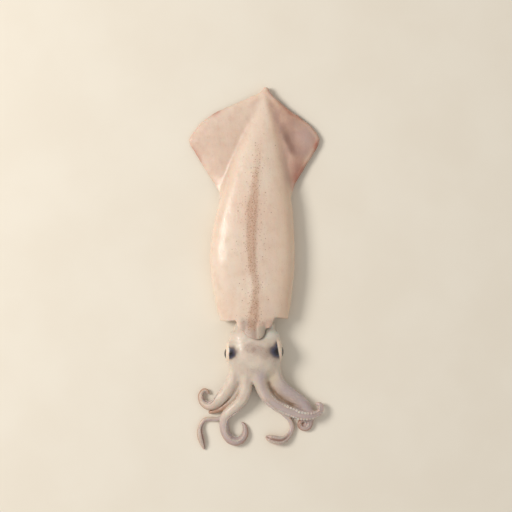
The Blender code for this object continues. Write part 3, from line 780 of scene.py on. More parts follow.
def build_head():
    step = (0.46, 0.46, 0.46)
    grid = Grid((-49.0, -128.2, -0.95), (48.6, -26.0, 21.4), step)
    x, y, z = grid.points()
    st = head_tables()
    yc = np.clip(y, -76.6, -28.0)
    half = np.interp(yc, st[:, 0], st[:, 1])
    top = np.interp(yc, st[:, 0], st[:, 2])
    head = oval(x, z, HEAD_X, half, 0.0 + 0 * top, top, rise=0.45)
    # shallow lengthwise furrows on the crown and the narrow nape
    head = head + 0.5 * np.exp(-(((x - HEAD_X) / 1.4) ** 2)) * smoothstep(-66.0, -74.0, y) * (z > 8)
    head = head + 0.35 * np.exp(-(((y + 50.2) / 1.6) ** 2)) * smoothstep(6.0, 11.0, z)
    head = smax(head, (-77.4 - y), 6.0)
    head = smax(head, y - (-28.6), 2.0)
    cut = grid.block((-30, -85, -1), (30, -40, 22))
    ex, ey, ez = grid.points(cut)
    for name, (cx, cy, cz) in EYES.items():
        out = 1 if name == "right" else -1
        rho = np.sqrt((ex - cx) ** 2 + ((ey - cy - 0.9) / 1.18) ** 2 + (ez - cz) ** 2)
        lid = smax(rho - (EYE_RADIUS + 1.2), out * (ex - cx) - 4.1, 0.9)
        head[cut] = smin(head[cut], lid, 2.6)

    body = np.ascontiguousarray(np.broadcast_to(head, grid.shape)).astype(np.float32)
    limbs = {name: Limb(name) for name in ROUTES}
    fields = {name: limb_distance(grid, limb) for name, limb in limbs.items()}
    # limbs fuse into the crown near the head, and only touch further out
    web = 3.4 * smoothstep(-86.0, -74.0, np.broadcast_to(y, grid.shape)) + 0.35
    arms = None
    for name in ("arm_l4", "arm_r4", "tentacle_l", "tentacle_r", "arm_l2", "arm_l3", "arm_r1",
                 "arm_r3", "arm_l1", "arm_r2"):
        k = web + (2.7 if name == "arm_r2" else 0.0)
        arms = fields[name] if arms is None else smin(arms, fields[name], k)
    body = smin(body, arms, 3.6).astype(np.float32)
    # openings for the eyeballs
    rb = body[cut]
    for name, (cx, cy, cz) in EYES.items():
        out = 1 if name == "right" else -1
        rho = np.sqrt((ex - cx) ** 2 + (ey - cy) ** 2 + (ez - cz) ** 2)
        rb = smax(rb, -(rho - (EYE_RADIUS + 0.08)), 0.3)
        rim = np.hypot(np.hypot(ey - cy, ez - cz) - 5.3, out * (ex - cx) - 4.0) - 0.85
        rb = smin(rb, rim, 0.5)
    body[cut] = rb

    xx, yy, zz = np.broadcast_arrays(x, y, z)
    near = np.abs(body) < 1.6
    p3 = np.stack([xx[near], yy[near], zz[near]], axis=-1)
    body[near] += (0.10 * noise3(p3, 6.0, 21) + 0.07 * noise3(p3, 2.6, 22)
                   + 0.03 * noise3(p3, 1.3, 23)).astype(np.float32)
    grid.d = smax(body, np.broadcast_to(0.04 - z, grid.shape), 0.25).astype(np.float32)
    verts, quads = keep_largest(*surface(grid))
    verts[:, 2] = np.maximum(verts[:, 2], 0.0)
    made = mesh_object("head_and_arms", verts, quads)

    # which limb each point is on, how far along, and on which side of it
    n = len(verts)
    best = np.full(n, 1e9)
    along = np.zeros(n)
    phi = np.zeros(n)
    who = np.zeros(n, int)
    for k, (name, limb) in enumerate(limbs.items()):
        lo, hi = limb.p.min(0) - 8, limb.p.max(0) + 8
        pick = np.flatnonzero(((verts > lo) & (verts < hi)).all(axis=1) & (verts[:, 1] < -62))
        for chunk in np.array_split(pick, max(1, len(pick) // 20000)):
            w = verts[chunk][:, None, :] - limb.p[None]
            dist = np.sqrt((w**2).sum(2)) - limb.r[None]
            j = dist.argmin(1)
            dj = dist[np.arange(len(chunk)), j]
            better = dj < best[chunk]
            idx, jj = chunk[better], j[better]
            ww = verts[idx] - limb.p[jj]
            best[idx], along[idx], who[idx] = dj[better], limb.s[jj], k
            phi[idx] = np.arctan2((ww * limb.n[jj]).sum(1), (ww * limb.b[jj]).sum(1))
    on_arm = smoothstep(-66.0, -76.0, verts[:, 1])
    names = list(limbs)
    clubs = np.isin(who, [names.index("tentacle_l"), names.index("tentacle_r")])
    oral = np.exp(-(((phi - math.pi / 2 + math.pi) % (2 * math.pi) - math.pi) / 0.85) ** 2) * on_arm
    tip = smoothstep(0.50, 0.92, along) * on_arm
    back = 1.0 - smoothstep(0.9, 1.9, np.abs((phi + math.pi / 2 + math.pi) % (2 * math.pi) - math.pi))
    pigment = np.clip(tip * (0.25 + 0.95 * back), 0, 1)
    coil = np.exp(-(((verts[:, 0] - 32.0) / 1.9) ** 2 + ((verts[:, 1] + 108.3) / 1.7) ** 2))
    coil *= who == list(limbs).index("arm_r3")
    curl = (who == names.index("arm_r3")) * smoothstep(0.5, 0.62, along) * smoothstep(33.0, 29.5, verts[:, 0])
    tip = np.maximum(np.maximum(pigment, coil), 0.75 * curl)
    # painted shade along the groove of the tentacle clubs and in the hollow middle of the coil
    groove_shade = np.exp(-(((phi - math.pi / 2 + math.pi) % (2 * math.pi) - math.pi) / 0.30) ** 2) * clubs * smoothstep(0.7, 0.85, along)
    groove_shade = np.maximum(groove_shade, 0.45 * coil)
    # painted shade in the folds where two limbs lie against each other
    fold_shade = np.zeros(n)
    e = 0.9
    nv = normals_of(made)
    probe = grid.sample(verts + nv * e)
    fold_shade = np.clip(1.0 - probe / e, 0, 1)
    lilac = np.zeros(n)
    for name, a0, a1 in (("arm_r2", 0.22, 0.5), ("arm_r3", 0.10, 0.35), ("arm_l1", 0.45, 0.7)):
        lilac = np.maximum(lilac, (who == names.index(name)) * smoothstep(a0, a1, along))
    oral = np.maximum(oral, lilac * on_arm * smoothstep(-0.2, 0.5, nv[:, 2]))
    paint(made, "marks", np.stack([oral, tip, groove_shade, smoothstep(0.35, 1.0, fold_shade)], axis=1))
    reach = np.array([np.linalg.norm(np.diff(limb.p, axis=0), axis=1).sum() for limb in limbs.values()])[who]
    girth = np.interp(along, (0.0, 1.0), (1.0, 0.45))
    vy0 = verts[:, 1]
    way = np.stack([0.5 + 0.5 * np.cos(phi) * girth, 0.5 + 0.5 * np.sin(phi) * girth, along * reach * 0.035 + who * 0.37], axis=1)
    # the lines fade out where one limb, or one turn of a limb, runs into the next
    a, b = np.concatenate([quads[:, [0, 1]], quads[:, [1, 2]]]).T
    jump = (np.abs(way[a] - way[b]).max(axis=1) > 0.14).astype(float)
    seam = np.zeros(n)
    np.maximum.at(seam, a, jump)
    np.maximum.at(seam, b, jump)
    for turn in range(5):
        spread = seam.copy()
        np.maximum.at(spread, a, seam[b] * 0.86)
        np.maximum.at(spread, b, seam[a] * 0.86)
        seam = spread
    calm = 1.0 - smoothstep(0.35, 0.85, seam)
    paint(made, "way", np.column_stack([way, smoothstep(-74.0, -90.0, vy0) * calm]))

    vx, vy, vz = verts.T
    dark = np.zeros(n)
    lid = np.zeros(n)
    for name, (cx, cy, cz) in EYES.items():
        out = 1 if name == "right" else -1
        lx = out * (vx - cx)
        ring = np.sqrt((vy - cy) ** 2 + (vz - cz) ** 2)
        rho = np.sqrt((vx - cx) ** 2 + (vy - cy) ** 2 + (vz - cz) ** 2)
        wob = 0.06 * noise3(verts, 2.2, 33)
        dx, dy = lx - 2.2, vy - cy - 0.4
        wide, tall = (7.0, 6.6) if name == "right" else (5.2, 5.6)
        core = smoothstep(1.0, 0.05, np.sqrt((dx / wide) ** 2 + (dy / tall) ** 2) + wob)
        core = np.maximum(core, 0.75 * np.exp(-((dx / 2.2) ** 2 + ((dy - 4.2) / 3.2) ** 2)) * (name == "right"))
        haze = 0.52 * smoothstep(1.0, 0.15, np.sqrt((dx / (1.9 * wide)) ** 2 + ((dy - 0.9) / (1.35 * tall)) ** 2) + wob)
        brink = 2.62 - 0.17 * (vy - cy) if name == "right" else 2.85 + 0.02 * (vy - cy)
        spot = (1 - (1 - core) * (1 - haze)) * smoothstep(brink + 0.3, brink - 0.3, lx)
        spot = spot * smoothstep(-1.0, 3.0, vz - cz)
        dark = np.maximum(dark, spot)
        shell = np.sqrt((vx - cx) ** 2 + ((vy - cy - 0.9) / 1.18) ** 2 + (vz - cz) ** 2)
        lid = np.maximum(lid, smoothstep(brink - 0.3, brink + 0.3, lx) * smoothstep(9.0, 7.5, shell))
    # skin colour on top of the head: a patch that runs across to one eye
    ax, ay, bx, by = -4.5, -54.5, 12.5, -60.5
    t = np.clip(((vx - ax) * (bx - ax) + (vy - ay) * (by - ay)) / ((bx - ax) ** 2 + (by - ay) ** 2), 0, 1)
    band = np.hypot(vx - ax - t * (bx - ax), vy - ay - t * (by - ay))
    wob = noise3(verts, 4.0, 31)
    patch = 0.62 * smoothstep(5.4, 2.2, band + 1.2 * wob) * (vz > 12) * (1 - 0.2 * t)
    patch = np.maximum(patch, smoothstep(3.6, 1.2, np.hypot(vx + 2.0, (vy + 55.6) * 0.8) + 0.8 * wob) * (vz > 12))
    patch = np.maximum(patch, 0.45 * np.exp(-(((vx + 1.0) / 4.0) ** 2 + ((vy + 70.5) / 2.6) ** 2)) * (vz > 9))
    # painted light: the right side of the nape made paler, as if lit
    nape_light = smoothstep(-50.5, -46.0, vy) * smoothstep(1.0, 7.0, vx)
    paint(made, "tones", np.stack([dark, lid, patch, nape_light], axis=1))
    # painted shadow on the head along the edge of the flap lying over it
    reach = outline_distance(vx, vy, smooth_route(FLAP_EDGE, 0.5)[:, :2])
    painted_shading = np.exp(-(((reach + 0.5) / 1.3) ** 2)) * smoothstep(-3.0, 2.0, vx) * (vy < -35.0) * smoothstep(11.0, 15.0, vz)
    # painted shadow in the crease between two right arms
    crease_shadow = np.full(n, 1e9)
    line = ((8.6, -79.5), (9.6, -82.6), (13.6, -87.3), (18.6, -91.5), (24.7, -95.0))
    for (ax, ay), (bx, by) in zip(line, line[1:]):
        t = np.clip(((vx - ax) * (bx - ax) + (vy - ay) * (by - ay)) / ((bx - ax) ** 2 + (by - ay) ** 2), 0, 1)
        crease_shadow = np.minimum(crease_shadow, np.hypot(vx - ax - t * (bx - ax), vy - ay - t * (by - ay)))
    # painted shade spreading wider around that crease
    tan = np.exp(-((crease_shadow + 0.5 * noise3(verts, 3.0, 36)) / 4.6) ** 2) * smoothstep(3.0, 6.0, vz)
    crease_shadow = np.exp(-((crease_shadow + 0.35 * noise3(verts, 2.0, 35)) / 1.35) ** 2) * (vz > 4)
    # cream-olive at the root of an arm on its side towards the light: partly its own tint, partly painted light
    olive_and_light = np.exp(-(((vx - 10.5) / 4.0) ** 2 + ((vy + 76.0) / 8.0) ** 2)) * (vz > 6)
    paint(made, "painted_shading", np.stack([painted_shading, crease_shadow, olive_and_light, tan], axis=1))
    return made, limbs


# ======================================================================
# Suckers: small cups on two rows along the arms
# ======================================================================
SUCKER_PROFILE = ((0.42, -0.35), (0.50, 0.05), (0.86, 0.26), (1.0, 0.52), (0.88, 0.74),
                  (0.66, 0.74), (0.48, 0.52), (0.26, 0.36))


def build_suckers(limbs):
    rng = np.random.default_rng(5)
    seg = 14
    ang = np.linspace(0, 2 * np.pi, seg, endpoint=False)
    profile = np.array(SUCKER_PROFILE)
    ring = np.concatenate([np.stack([r * np.cos(ang), r * np.sin(ang), np.full(seg, h)], 1) for r, h in profile])
    unit = np.vstack([ring, [[0, 0, 0.32]], [[0, 0, -0.35]]])
    quads, tris = [], []
    for k in range(len(profile) - 1):
        for i in range(seg):
            j = (i + 1) % seg
            quads.append((k * seg + i, k * seg + j, (k + 1) * seg + j, (k + 1) * seg + i))
    last = (len(profile) - 1) * seg
    for i in range(seg):
        j = (i + 1) % seg
        tris.append((last + i, last + j, len(ring)))
        tris.append((j, i, len(ring) + 1))
    faces = [q for q in quads] + [t for t in tris]
    verts, all_faces, shade = [], [], []
    plan = {
        "arm_r2": (0.36, 0.985, 0.27), "arm_r1": (0.30, 0.98, 0.26), "arm_r3": (0.60, 0.985, 0.25),
        "arm_l1": (0.30, 0.985, 0.25), "arm_l3": (0.30, 0.98, 0.26), "arm_l2": (0.40, 0.97, 0.26),
        "tentacle_r": (0.74, 0.98, 0.20), "tentacle_l": (0.77, 0.97, 0.22),
    }
    count = 0
    for name, (s0, s1, size) in plan.items():
        limb = limbs[name]
        length = np.concatenate([[0], np.cumsum(np.linalg.norm(np.diff(limb.p, axis=0), axis=1))])
        for row in ((-1, 1) if limb.arm else (-1, 1, -2.1, 2.1)):
            at = s0 * length[-1] + (0.55 if row > 0 else 0.0)
            while at < s1 * length[-1]:
                s = at / length[-1]
                f = np.interp(at, length, np.arange(len(length)))
                i = min(int(f), len(length) - 2)
                w = f - i
                p = limb.p[i] * (1 - w) + limb.p[i + 1] * w
                r = limb.r[i] * (1 - w) + limb.r[i + 1] * w
                t, n, b = limb.t[i], limb.n[i], limb.b[i]
                grow = min(1.0, 0.55 + 2.2 * (s - s0))
                radius = max(0.24, min(0.80, size * r) * grow) * (0.88 + 0.24 * rng.random())
                if name == "arm_r2" and row > 0:
                    radius *= 1.08
                if abs(row) > 1.5:
                    radius *= 0.62
                phi = math.pi / 2 + row * ((0.74 if limb.arm else 0.52) + 0.04 * rng.standard_normal())
                g = float(limb.shape(np.array(phi), s, limb.club[i], limb.turn[i]))
                place = p + r * g * (math.cos(phi) * b + math.sin(phi) * n)
                lean = math.pi / 2 + row * 0.46
                axis = math.cos(lean) * b + math.sin(lean) * n + 0.10 * rng.standard_normal(3)
                axis /= np.linalg.norm(axis)
                side = np.cross(axis, t)
                side /= np.linalg.norm(side)
                fore = np.cross(side, axis)
                m = np.stack([fore, side, axis], axis=1)
                spot = unit * radius * (1, 1, 0.95)
                pts = spot @ m.T + place
                pts[:, 2] = np.maximum(pts[:, 2], 0.02)
                verts.append(pts)
                all_faces += [tuple(v + count for v in q) for q in faces]
                h = np.concatenate([np.repeat(profile[:, 1], seg), [0.32, -0.35]])
                rr = np.concatenate([np.repeat(profile[:, 0], seg), [0, 0.2]])
                cup = ((h > 0.3) & (rr < 0.6)).astype(float)
                white_and_highlight = 0.30 + 0.25 * rng.random()
                # on arm_r2 the suckers facing the light, mostly the upper row, are painted whiter: painted highlight
                # over their own pale colour
                if name == "arm_r2":
                    lit = smoothstep(0.48, 0.56, s) * smoothstep(0.82, 0.72, s)
                    white_and_highlight += (0.6 if row > 0 else 0.25) * float(lit)
                shade.append(np.stack([cup, np.full(len(unit), white_and_highlight), np.full(len(unit), rng.random())], 1))
                count += len(unit)
                at += radius * (2.75 if name == "arm_r2" and row > 0 else 2.3)
    mesh = bpy.data.meshes.new("suckers")
    verts = np.vstack(verts)
    mesh.from_pydata((verts * MM).tolist(), [], all_faces)
    mesh.update()
    mesh.shade_smooth()
    made = bpy.data.objects.new("suckers", mesh)
    bpy.context.scene.collection.objects.link(made)
    paint(made, "marks", np.vstack(shade))
    return made


# ======================================================================
# Eyes
# ======================================================================
def build_eye(side):
    cx, cy, cz = EYES[side]
    out = 1 if side == "right" else -1
    rings, seg = 40, 48
    axis = np.array([out * 0.95, -0.05, 0.30])
    axis /= np.linalg.norm(axis)
    other = np.cross(axis, [0, 1, 0])
    other /= np.linalg.norm(other)
    third = np.cross(axis, other)
    verts = [axis * 1.0]
    for k in range(1, rings):
        a = math.pi * k / rings
        # the clear front stands a touch proud and flattens to the iris
        r = 1.0 + 0.012 * math.exp(-((a - 0.25) / 0.3) ** 2) - 0.02 * math.exp(-((a - 0.78) / 0.10) ** 2)
        for j in range(seg):
            p = 2 * math.pi * j / seg
            verts.append(r * (math.cos(a) * axis + math.sin(a) * (math.cos(p) * other + math.sin(p) * third)))
    verts.append(-axis)
    verts = np.array(verts) * (EYE_RADIUS * 0.988) + (cx, cy, cz)
    faces = []
    for j in range(seg):
        faces.append((0, 1 + (j + 1) % seg, 1 + j))
    for k in range(rings - 2):
        for j in range(seg):
            a, b = 1 + k * seg + j, 1 + k * seg + (j + 1) % seg
            faces.append((a, b, b + seg, a + seg))
    end = len(verts) - 1
    for j in range(seg):
        faces.append((end, 1 + (rings - 2) * seg + j, 1 + (rings - 2) * seg + (j + 1) % seg))
    mesh = bpy.data.meshes.new(f"eyeball_{side}")
    mesh.from_pydata((verts * MM).tolist(), [], faces)
    mesh.update()
    mesh.shade_smooth()
    made = bpy.data.objects.new(f"eyeball_{side}", mesh)
    bpy.context.scene.collection.objects.link(made)
    w = (verts - (cx, cy, cz)) / EYE_RADIUS
    angle = np.arccos(np.clip(w @ axis / np.linalg.norm(w, axis=1), -1, 1)) / math.pi
    # a pupil that is a little wider than tall
    squash = np.abs(w @ third) * 0.04
    paint(made, "marks", np.stack([angle - squash, np.abs(w @ other), np.abs(w @ third)], axis=1))
    return made


# ======================================================================
# Materials
# ======================================================================
def new_material(name):
    m = bpy.data.materials.new(name)
    m.use_nodes = True
    tree = m.node_tree
    tree.nodes.clear()
    out = tree.nodes.new("ShaderNodeOutputMaterial")
    shader = tree.nodes.new("ShaderNodeBsdfPrincipled")
    tree.links.new(shader.outputs[0], out.inputs[0])
    return m, tree, shader


class Nodes:
    """Short names for the nodes that the materials are made of."""

    def __init__(self, tree):
        self.t = tree
        self.coord = tree.nodes.new("ShaderNodeTexCoord").outputs["Object"]

    def attribute(self, name):
        a = self.t.nodes.new("ShaderNodeAttribute")
        a.attribute_name = name
        s = self.t.nodes.new("ShaderNodeSeparateColor")
        self.t.links.new(a.outputs["Color"], s.inputs[0])
        return s.outputs[0], s.outputs[1], s.outputs[2], a.outputs["Alpha"]

    def scaled(self, stretch):
        m = self.t.nodes.new("ShaderNodeMapping")
        m.inputs["Scale"].default_value = stretch
        self.t.links.new(self.coord, m.inputs["Vector"])
        return m.outputs[0]

    def noise(self, size_mm, detail=3.0, rough=0.55, stretch=None, distortion=0.0):
        n = self.t.nodes.new("ShaderNodeTexNoise")
        n.inputs["Scale"].default_value = 1000.0 / size_mm
        n.inputs["Detail"].default_value = detail
        n.inputs["Roughness"].default_value = rough
        n.inputs["Distortion"].default_value = distortion
        self.t.links.new(self.scaled(stretch) if stretch else self.coord, n.inputs["Vector"])
        return n.outputs[0]

    def lines(self, scale, detail=3.0, rough=0.6):
        """Streaks that run along the arms."""
        a = self.t.nodes.new("ShaderNodeAttribute")
        a.attribute_name = "way"
        n = self.t.nodes.new("ShaderNodeTexNoise")
        n.inputs["Scale"].default_value = scale
        n.inputs["Detail"].default_value = detail
        n.inputs["Roughness"].default_value = rough
        self.t.links.new(a.outputs["Vector"], n.inputs["Vector"])
        return n.outputs[0], a.outputs["Alpha"]

    def cells(self, size_mm, feature="F1", randomness=1.0, colour=False):
        n = self.t.nodes.new("ShaderNodeTexVoronoi")
        n.feature = feature
        n.inputs["Scale"].default_value = 1000.0 / size_mm
        n.inputs["Randomness"].default_value = randomness
        self.t.links.new(self.coord, n.inputs["Vector"])
        return n.outputs["Color"] if colour else n.outputs["Distance"]

    def _set(self, socket, value):
        if isinstance(value, bpy.types.NodeSocket):
            self.t.links.new(value, socket)
        elif isinstance(value, tuple) and len(value) == 3:
            socket.default_value = (*value, 1.0)
        else:
            socket.default_value = value

    def math(self, op, a, b=0.0, c=0.0, clamp=False):
        n = self.t.nodes.new("ShaderNodeMath")
        n.operation = op
        n.use_clamp = clamp
        for k, v in enumerate((a, b, c)):
            self._set(n.inputs[k], v)
        return n.outputs[0]

    def ramp(self, value, low, high, a=0.0, b=1.0, smooth=True):
        n = self.t.nodes.new("ShaderNodeMapRange")
        n.interpolation_type = "SMOOTHSTEP" if smooth else "LINEAR"
        self._set(n.inputs["Value"], value)
        self._set(n.inputs["From Min"], low)
        self._set(n.inputs["From Max"], high)
        n.inputs["To Min"].default_value = a
        n.inputs["To Max"].default_value = b
        return n.outputs["Result"]

    def mix(self, factor, a, b, mode="MIX"):
        n = self.t.nodes.new("ShaderNodeMix")
        n.data_type = "RGBA"
        n.blend_type = mode
        n.clamp_factor = True
        self._set(n.inputs[0], factor)
        self._set(n.inputs[6], a)
        self._set(n.inputs[7], b)
        return n.outputs[2]

    def bump(self, height, strength, distance_mm, normal=None):
        n = self.t.nodes.new("ShaderNodeBump")
        n.inputs["Strength"].default_value = strength
        n.inputs["Distance"].default_value = distance_mm * MM
        self.t.links.new(height, n.inputs["Height"])
        if normal is not None:
            self.t.links.new(normal, n.inputs["Normal"])
        return n.outputs[0]


def srgb(r, g, b):
    """Linear colour from 0-255 display values."""
    def one(c):
        c = c / 255.0
        return c / 12.92 if c <= 0.04045 else ((c + 0.055) / 1.055) ** 2.4
    return (one(r), one(g), one(b))


def wet(shader, rough_link=None, sss=0.35, radius=(1.0, 0.45, 0.28), scale=2.2):
    shader.inputs["Subsurface Weight"].default_value = sss
    shader.inputs["Subsurface Radius"].default_value = radius
    shader.inputs["Subsurface Scale"].default_value = scale * MM
    shader.inputs["IOR"].default_value = 1.4
    shader.inputs["Specular IOR Level"].default_value = 0.5
    shader.inputs["Coat Weight"].default_value = 0.28
    shader.inputs["Coat Roughness"].default_value = 0.16
    shader.inputs["Coat IOR"].default_value = 1.35


def mantle_material():
    m, tree, shader = new_material("squid_skin")
    k = Nodes(tree)
    stripe, rim, mauve_and_shade, furrow_shade = k.attribute("marks")
    margin_shade, pink, flank_bounce_light, tongue = k.attribute("tones")
    broad = k.noise(26.0, 3.0, 0.55)
    blotch = k.noise(6.0, 4.0, 0.6)
    fine = k.noise(1.3, 3.0, 0.6)
    fibre = k.noise(3.0, 3.0, 0.6, stretch=(1.0, 0.18, 1.0))

    col = k.mix(k.ramp(broad, 0.35, 0.65), srgb(232, 213, 196), srgb(228, 204, 186))
    col = k.mix(k.math("MULTIPLY", k.ramp(blotch, 0.45, 0.75), 0.35), col, srgb(214, 184, 162))
    col = k.mix(k.math("MULTIPLY", k.ramp(fibre, 0.5, 0.72), 0.22), col, srgb(236, 220, 203))
    # painted warm bounce light on the shaded right side of the mantle
    col = k.mix(k.math("MULTIPLY", flank_bounce_light, 0.45), col, srgb(234, 202, 170))
    # painted shade along the front edge of the tube, except on its lit left side, and the greyer tongue of the flap
    col = k.mix(k.math("MULTIPLY", margin_shade, 0.75), col, srgb(194, 166, 150))
    col = k.mix(k.math("MULTIPLY", tongue, 0.9), col, srgb(182, 169, 153))
    # fin: mauve-grey film, the fins' own tint laid on at full strength on the right fin as painted shade; a fold with
    # painted shade and some brown; a red-brown rim
    film = k.mix(k.ramp(blotch, 0.35, 0.65), srgb(196, 160, 142), srgb(186, 152, 140))
    col = k.mix(k.math("MULTIPLY", mauve_and_shade, k.ramp(blotch, 0.2, 0.8, 0.75, 0.95)), col, film)
    swell_light, low_red, foot_light, lobe = k.attribute("film")
    col = k.mix(k.math("MULTIPLY", lobe, 0.8), col, srgb(184, 164, 152))
    # painted light on the lit bulge of the right fin
    col = k.mix(k.math("MULTIPLY", swell_light, 0.8), col, srgb(204, 176, 168))
    col = k.mix(k.math("MULTIPLY", low_red, 0.75), col, srgb(172, 124, 110))
    # painted light in the shaded hollow at the foot of the right fin
    col = k.mix(k.math("MULTIPLY", foot_light, 0.55), col, srgb(230, 196, 176))
    # painted shade in the fold of the right fin, with some brown pigment
    col = k.mix(k.math("MULTIPLY", furrow_shade, 0.80), col, srgb(150, 114, 102))
    col = k.mix(k.math("MULTIPLY", rim, k.ramp(blotch, 0.25, 0.75, 0.6, 0.95)), col, srgb(177, 112, 95))
    # colour cells in the thin skin along the back, dense at the middle line
    col = k.mix(k.math("MULTIPLY", k.ramp(stripe, 0.10, 0.9), 0.62), col, srgb(196, 160, 136))
    for size, share, depth in ((1.0, 0.95, 0.75), (0.55, 0.75, 0.5)):
        dots = k.cells(size)
        who = tree.nodes.new("ShaderNodeSeparateColor")
        tree.links.new(k.cells(size, colour=True), who.inputs[0])
        lucky = k.math("LESS_THAN", who.outputs[0], k.math("MULTIPLY", stripe, share))
        spot = k.math("MULTIPLY", k.ramp(dots, 0.44, 0.26), lucky)
        tan = k.mix(who.outputs[1], srgb(180, 138, 114), srgb(158, 116, 96))
        col = k.mix(k.math("MULTIPLY", spot, depth), col, tan)
    # stray specks all over the back
    small = k.cells(2.1)
    who2 = tree.nodes.new("ShaderNodeSeparateColor")
    tree.links.new(k.cells(2.1, colour=True), who2.inputs[0])
    stray = k.math("MULTIPLY", k.ramp(small, 0.17, 0.10), k.math("LESS_THAN", who2.outputs[0], 0.30))
    col = k.mix(k.math("MULTIPLY", stray, 0.35), col, srgb(184, 140, 122))
    tree.links.new(col, shader.inputs["Base Color"])
    tree.links.new(k.ramp(fine, 0.3, 0.7, 0.26, 0.46), shader.inputs["Roughness"])
    n = k.bump(blotch, 0.35, 0.55)
    n = k.bump(fibre, 0.35, 0.30, n)
    n = k.bump(fine, 0.28, 0.16, n)
    tree.links.new(n, shader.inputs["Normal"])
    wet(shader)
    return m


def head_material():
    m, tree, shader = new_material("squid_arm_flesh")
    k = Nodes(tree)
    oral, tip, groove_shade, fold_shade = k.attribute("marks")
    dark, lid, patch, nape_light = k.attribute("tones")
    broad = k.noise(16.0, 3.0, 0.55)
    blotch = k.noise(4.5, 4.0, 0.6)
    fine = k.noise(1.0, 3.0, 0.6)
    col = k.mix(k.ramp(broad, 0.35, 0.65), srgb(222, 208, 194), srgb(215, 199, 184))
    col = k.mix(k.math("MULTIPLY", k.ramp(blotch, 0.4, 0.7), 0.4), col, srgb(200, 184, 172))
    # arms are greyer and more lilac than the head, brown towards the tips
    col = k.mix(k.math("MULTIPLY", oral, 0.85), col, srgb(191, 176, 178))
    col = k.mix(k.math("MULTIPLY", tip, 0.8), col, srgb(172, 128, 102))
    # painted shade in the club groove and the middle of the coil
    col = k.mix(k.math("MULTIPLY", groove_shade, 0.85), col, srgb(140, 100, 80))
    # painted shade in the folds between limbs
    col = k.mix(k.math("MULTIPLY", fold_shade, 0.55), col, srgb(158, 122, 98))
    # painted light on the right side of the nape
    col = k.mix(k.math("MULTIPLY", nape_light, 0.8), col, srgb(232, 226, 214))
    # colour cells in the skin of the head
    col = k.mix(k.math("MULTIPLY", patch, 0.7), col, srgb(164, 138, 128))
    for size, share, depth in ((0.95, 0.8, 0.5), (0.5, 0.9, 0.4)):
        dots = k.cells(size)
        who = tree.nodes.new("ShaderNodeSeparateColor")
        tree.links.new(k.cells(size, colour=True), who.inputs[0])
        lucky = k.math("LESS_THAN", who.outputs[0], k.math("ADD", k.math("MULTIPLY", patch, share), k.math("MULTIPLY", tip, 0.2)))
        spot = k.math("MULTIPLY", k.ramp(dots, k.math("ADD", k.math("MULTIPLY", who.outputs[2], 0.2), 0.28), 0.16), lucky)
        col = k.mix(k.math("MULTIPLY", spot, depth), col, k.mix(who.outputs[1], srgb(152, 114, 98), srgb(124, 92, 82)))
    # eye showing through the thin skin, and the pale lid around it
    soft = k.math("MULTIPLY", dark, k.ramp(fine, 0.2, 0.8, 0.92, 1.05))
    col = k.mix(k.ramp(soft, 0.03, 0.55), col, srgb(142, 126, 116))
    col = k.mix(k.ramp(soft, 0.26, 0.80), col, srgb(72, 70, 88))
    col = k.mix(k.ramp(soft, 0.70, 0.98), col, srgb(34, 27, 28))
    col = k.mix(k.math("MULTIPLY", lid, 0.9), col, srgb(238, 218, 198))
    painted_shading, crease_shadow, olive_and_light, tan = k.attribute("painted_shading")
    # painted shade spreading wider around the crease between the right arms
    col = k.mix(k.math("MULTIPLY", tan, 0.62), col, srgb(184, 160, 136))
    # partly the arm's own cream-olive tint, partly painted light on its lit side
    col = k.mix(k.math("MULTIPLY", olive_and_light, 0.6), col, srgb(206, 190, 164))
    # painted shadow in the crease between two right arms
    col = k.mix(k.math("MULTIPLY", crease_shadow, 0.72), col, srgb(138, 108, 88))
    # painted shadow under the edge of the flap
    col = k.mix(k.math("MULTIPLY", painted_shading, 0.8), col, srgb(104, 86, 70))
    # lengthwise lines in the skin of the arms
    lines, on_arm = k.lines(7.0)
    thin, _ = k.lines(19.0, 2.0)
    col = k.mix(k.math("MULTIPLY", k.ramp(lines, 0.5, 0.68), k.math("MULTIPLY", on_arm, 0.32)), col, srgb(226, 206, 190))
    col = k.mix(k.math("MULTIPLY", k.ramp(thin, 0.52, 0.7), k.math("MULTIPLY", on_arm, 0.16)), col, srgb(160, 126, 112))
    tree.links.new(col, shader.inputs["Base Color"])
    tree.links.new(k.ramp(fine, 0.3, 0.7, 0.24, 0.42), shader.inputs["Roughness"])
    n = k.bump(blotch, 0.35, 0.45)
    n = k.bump(k.math("MULTIPLY", lines, on_arm), 0.4, 0.55, n)
    n = k.bump(k.math("MULTIPLY", thin, on_arm), 0.25, 0.14, n)
    n = k.bump(fine, 0.35, 0.18, n)
    tree.links.new(n, shader.inputs["Normal"])
    wet(shader, scale=1.6)
    return m


def sucker_material():
    m, tree, shader = new_material("squid_sucker")
    k = Nodes(tree)
    cup, white_and_highlight, luck, _ = k.attribute("marks")
    fine = k.noise(0.7, 2.0, 0.5)
    col = k.mix(luck, srgb(204, 184, 174), srgb(190, 166, 154))
    # the suckers' own pale colour, with painted highlight on the lit row of arm_r2
    col = k.mix(white_and_highlight, col, srgb(250, 242, 234))
    col = k.mix(k.math("MULTIPLY", k.ramp(fine, 0.4, 0.8), 0.25), col, srgb(206, 186, 172))
    col = k.mix(k.math("MULTIPLY", cup, 0.5), col, srgb(176, 150, 136))
    tree.links.new(col, shader.inputs["Base Color"])
    tree.links.new(k.ramp(fine, 0.3, 0.7, 0.25, 0.4), shader.inputs["Roughness"])
    wet(shader, scale=1.0)
    return m


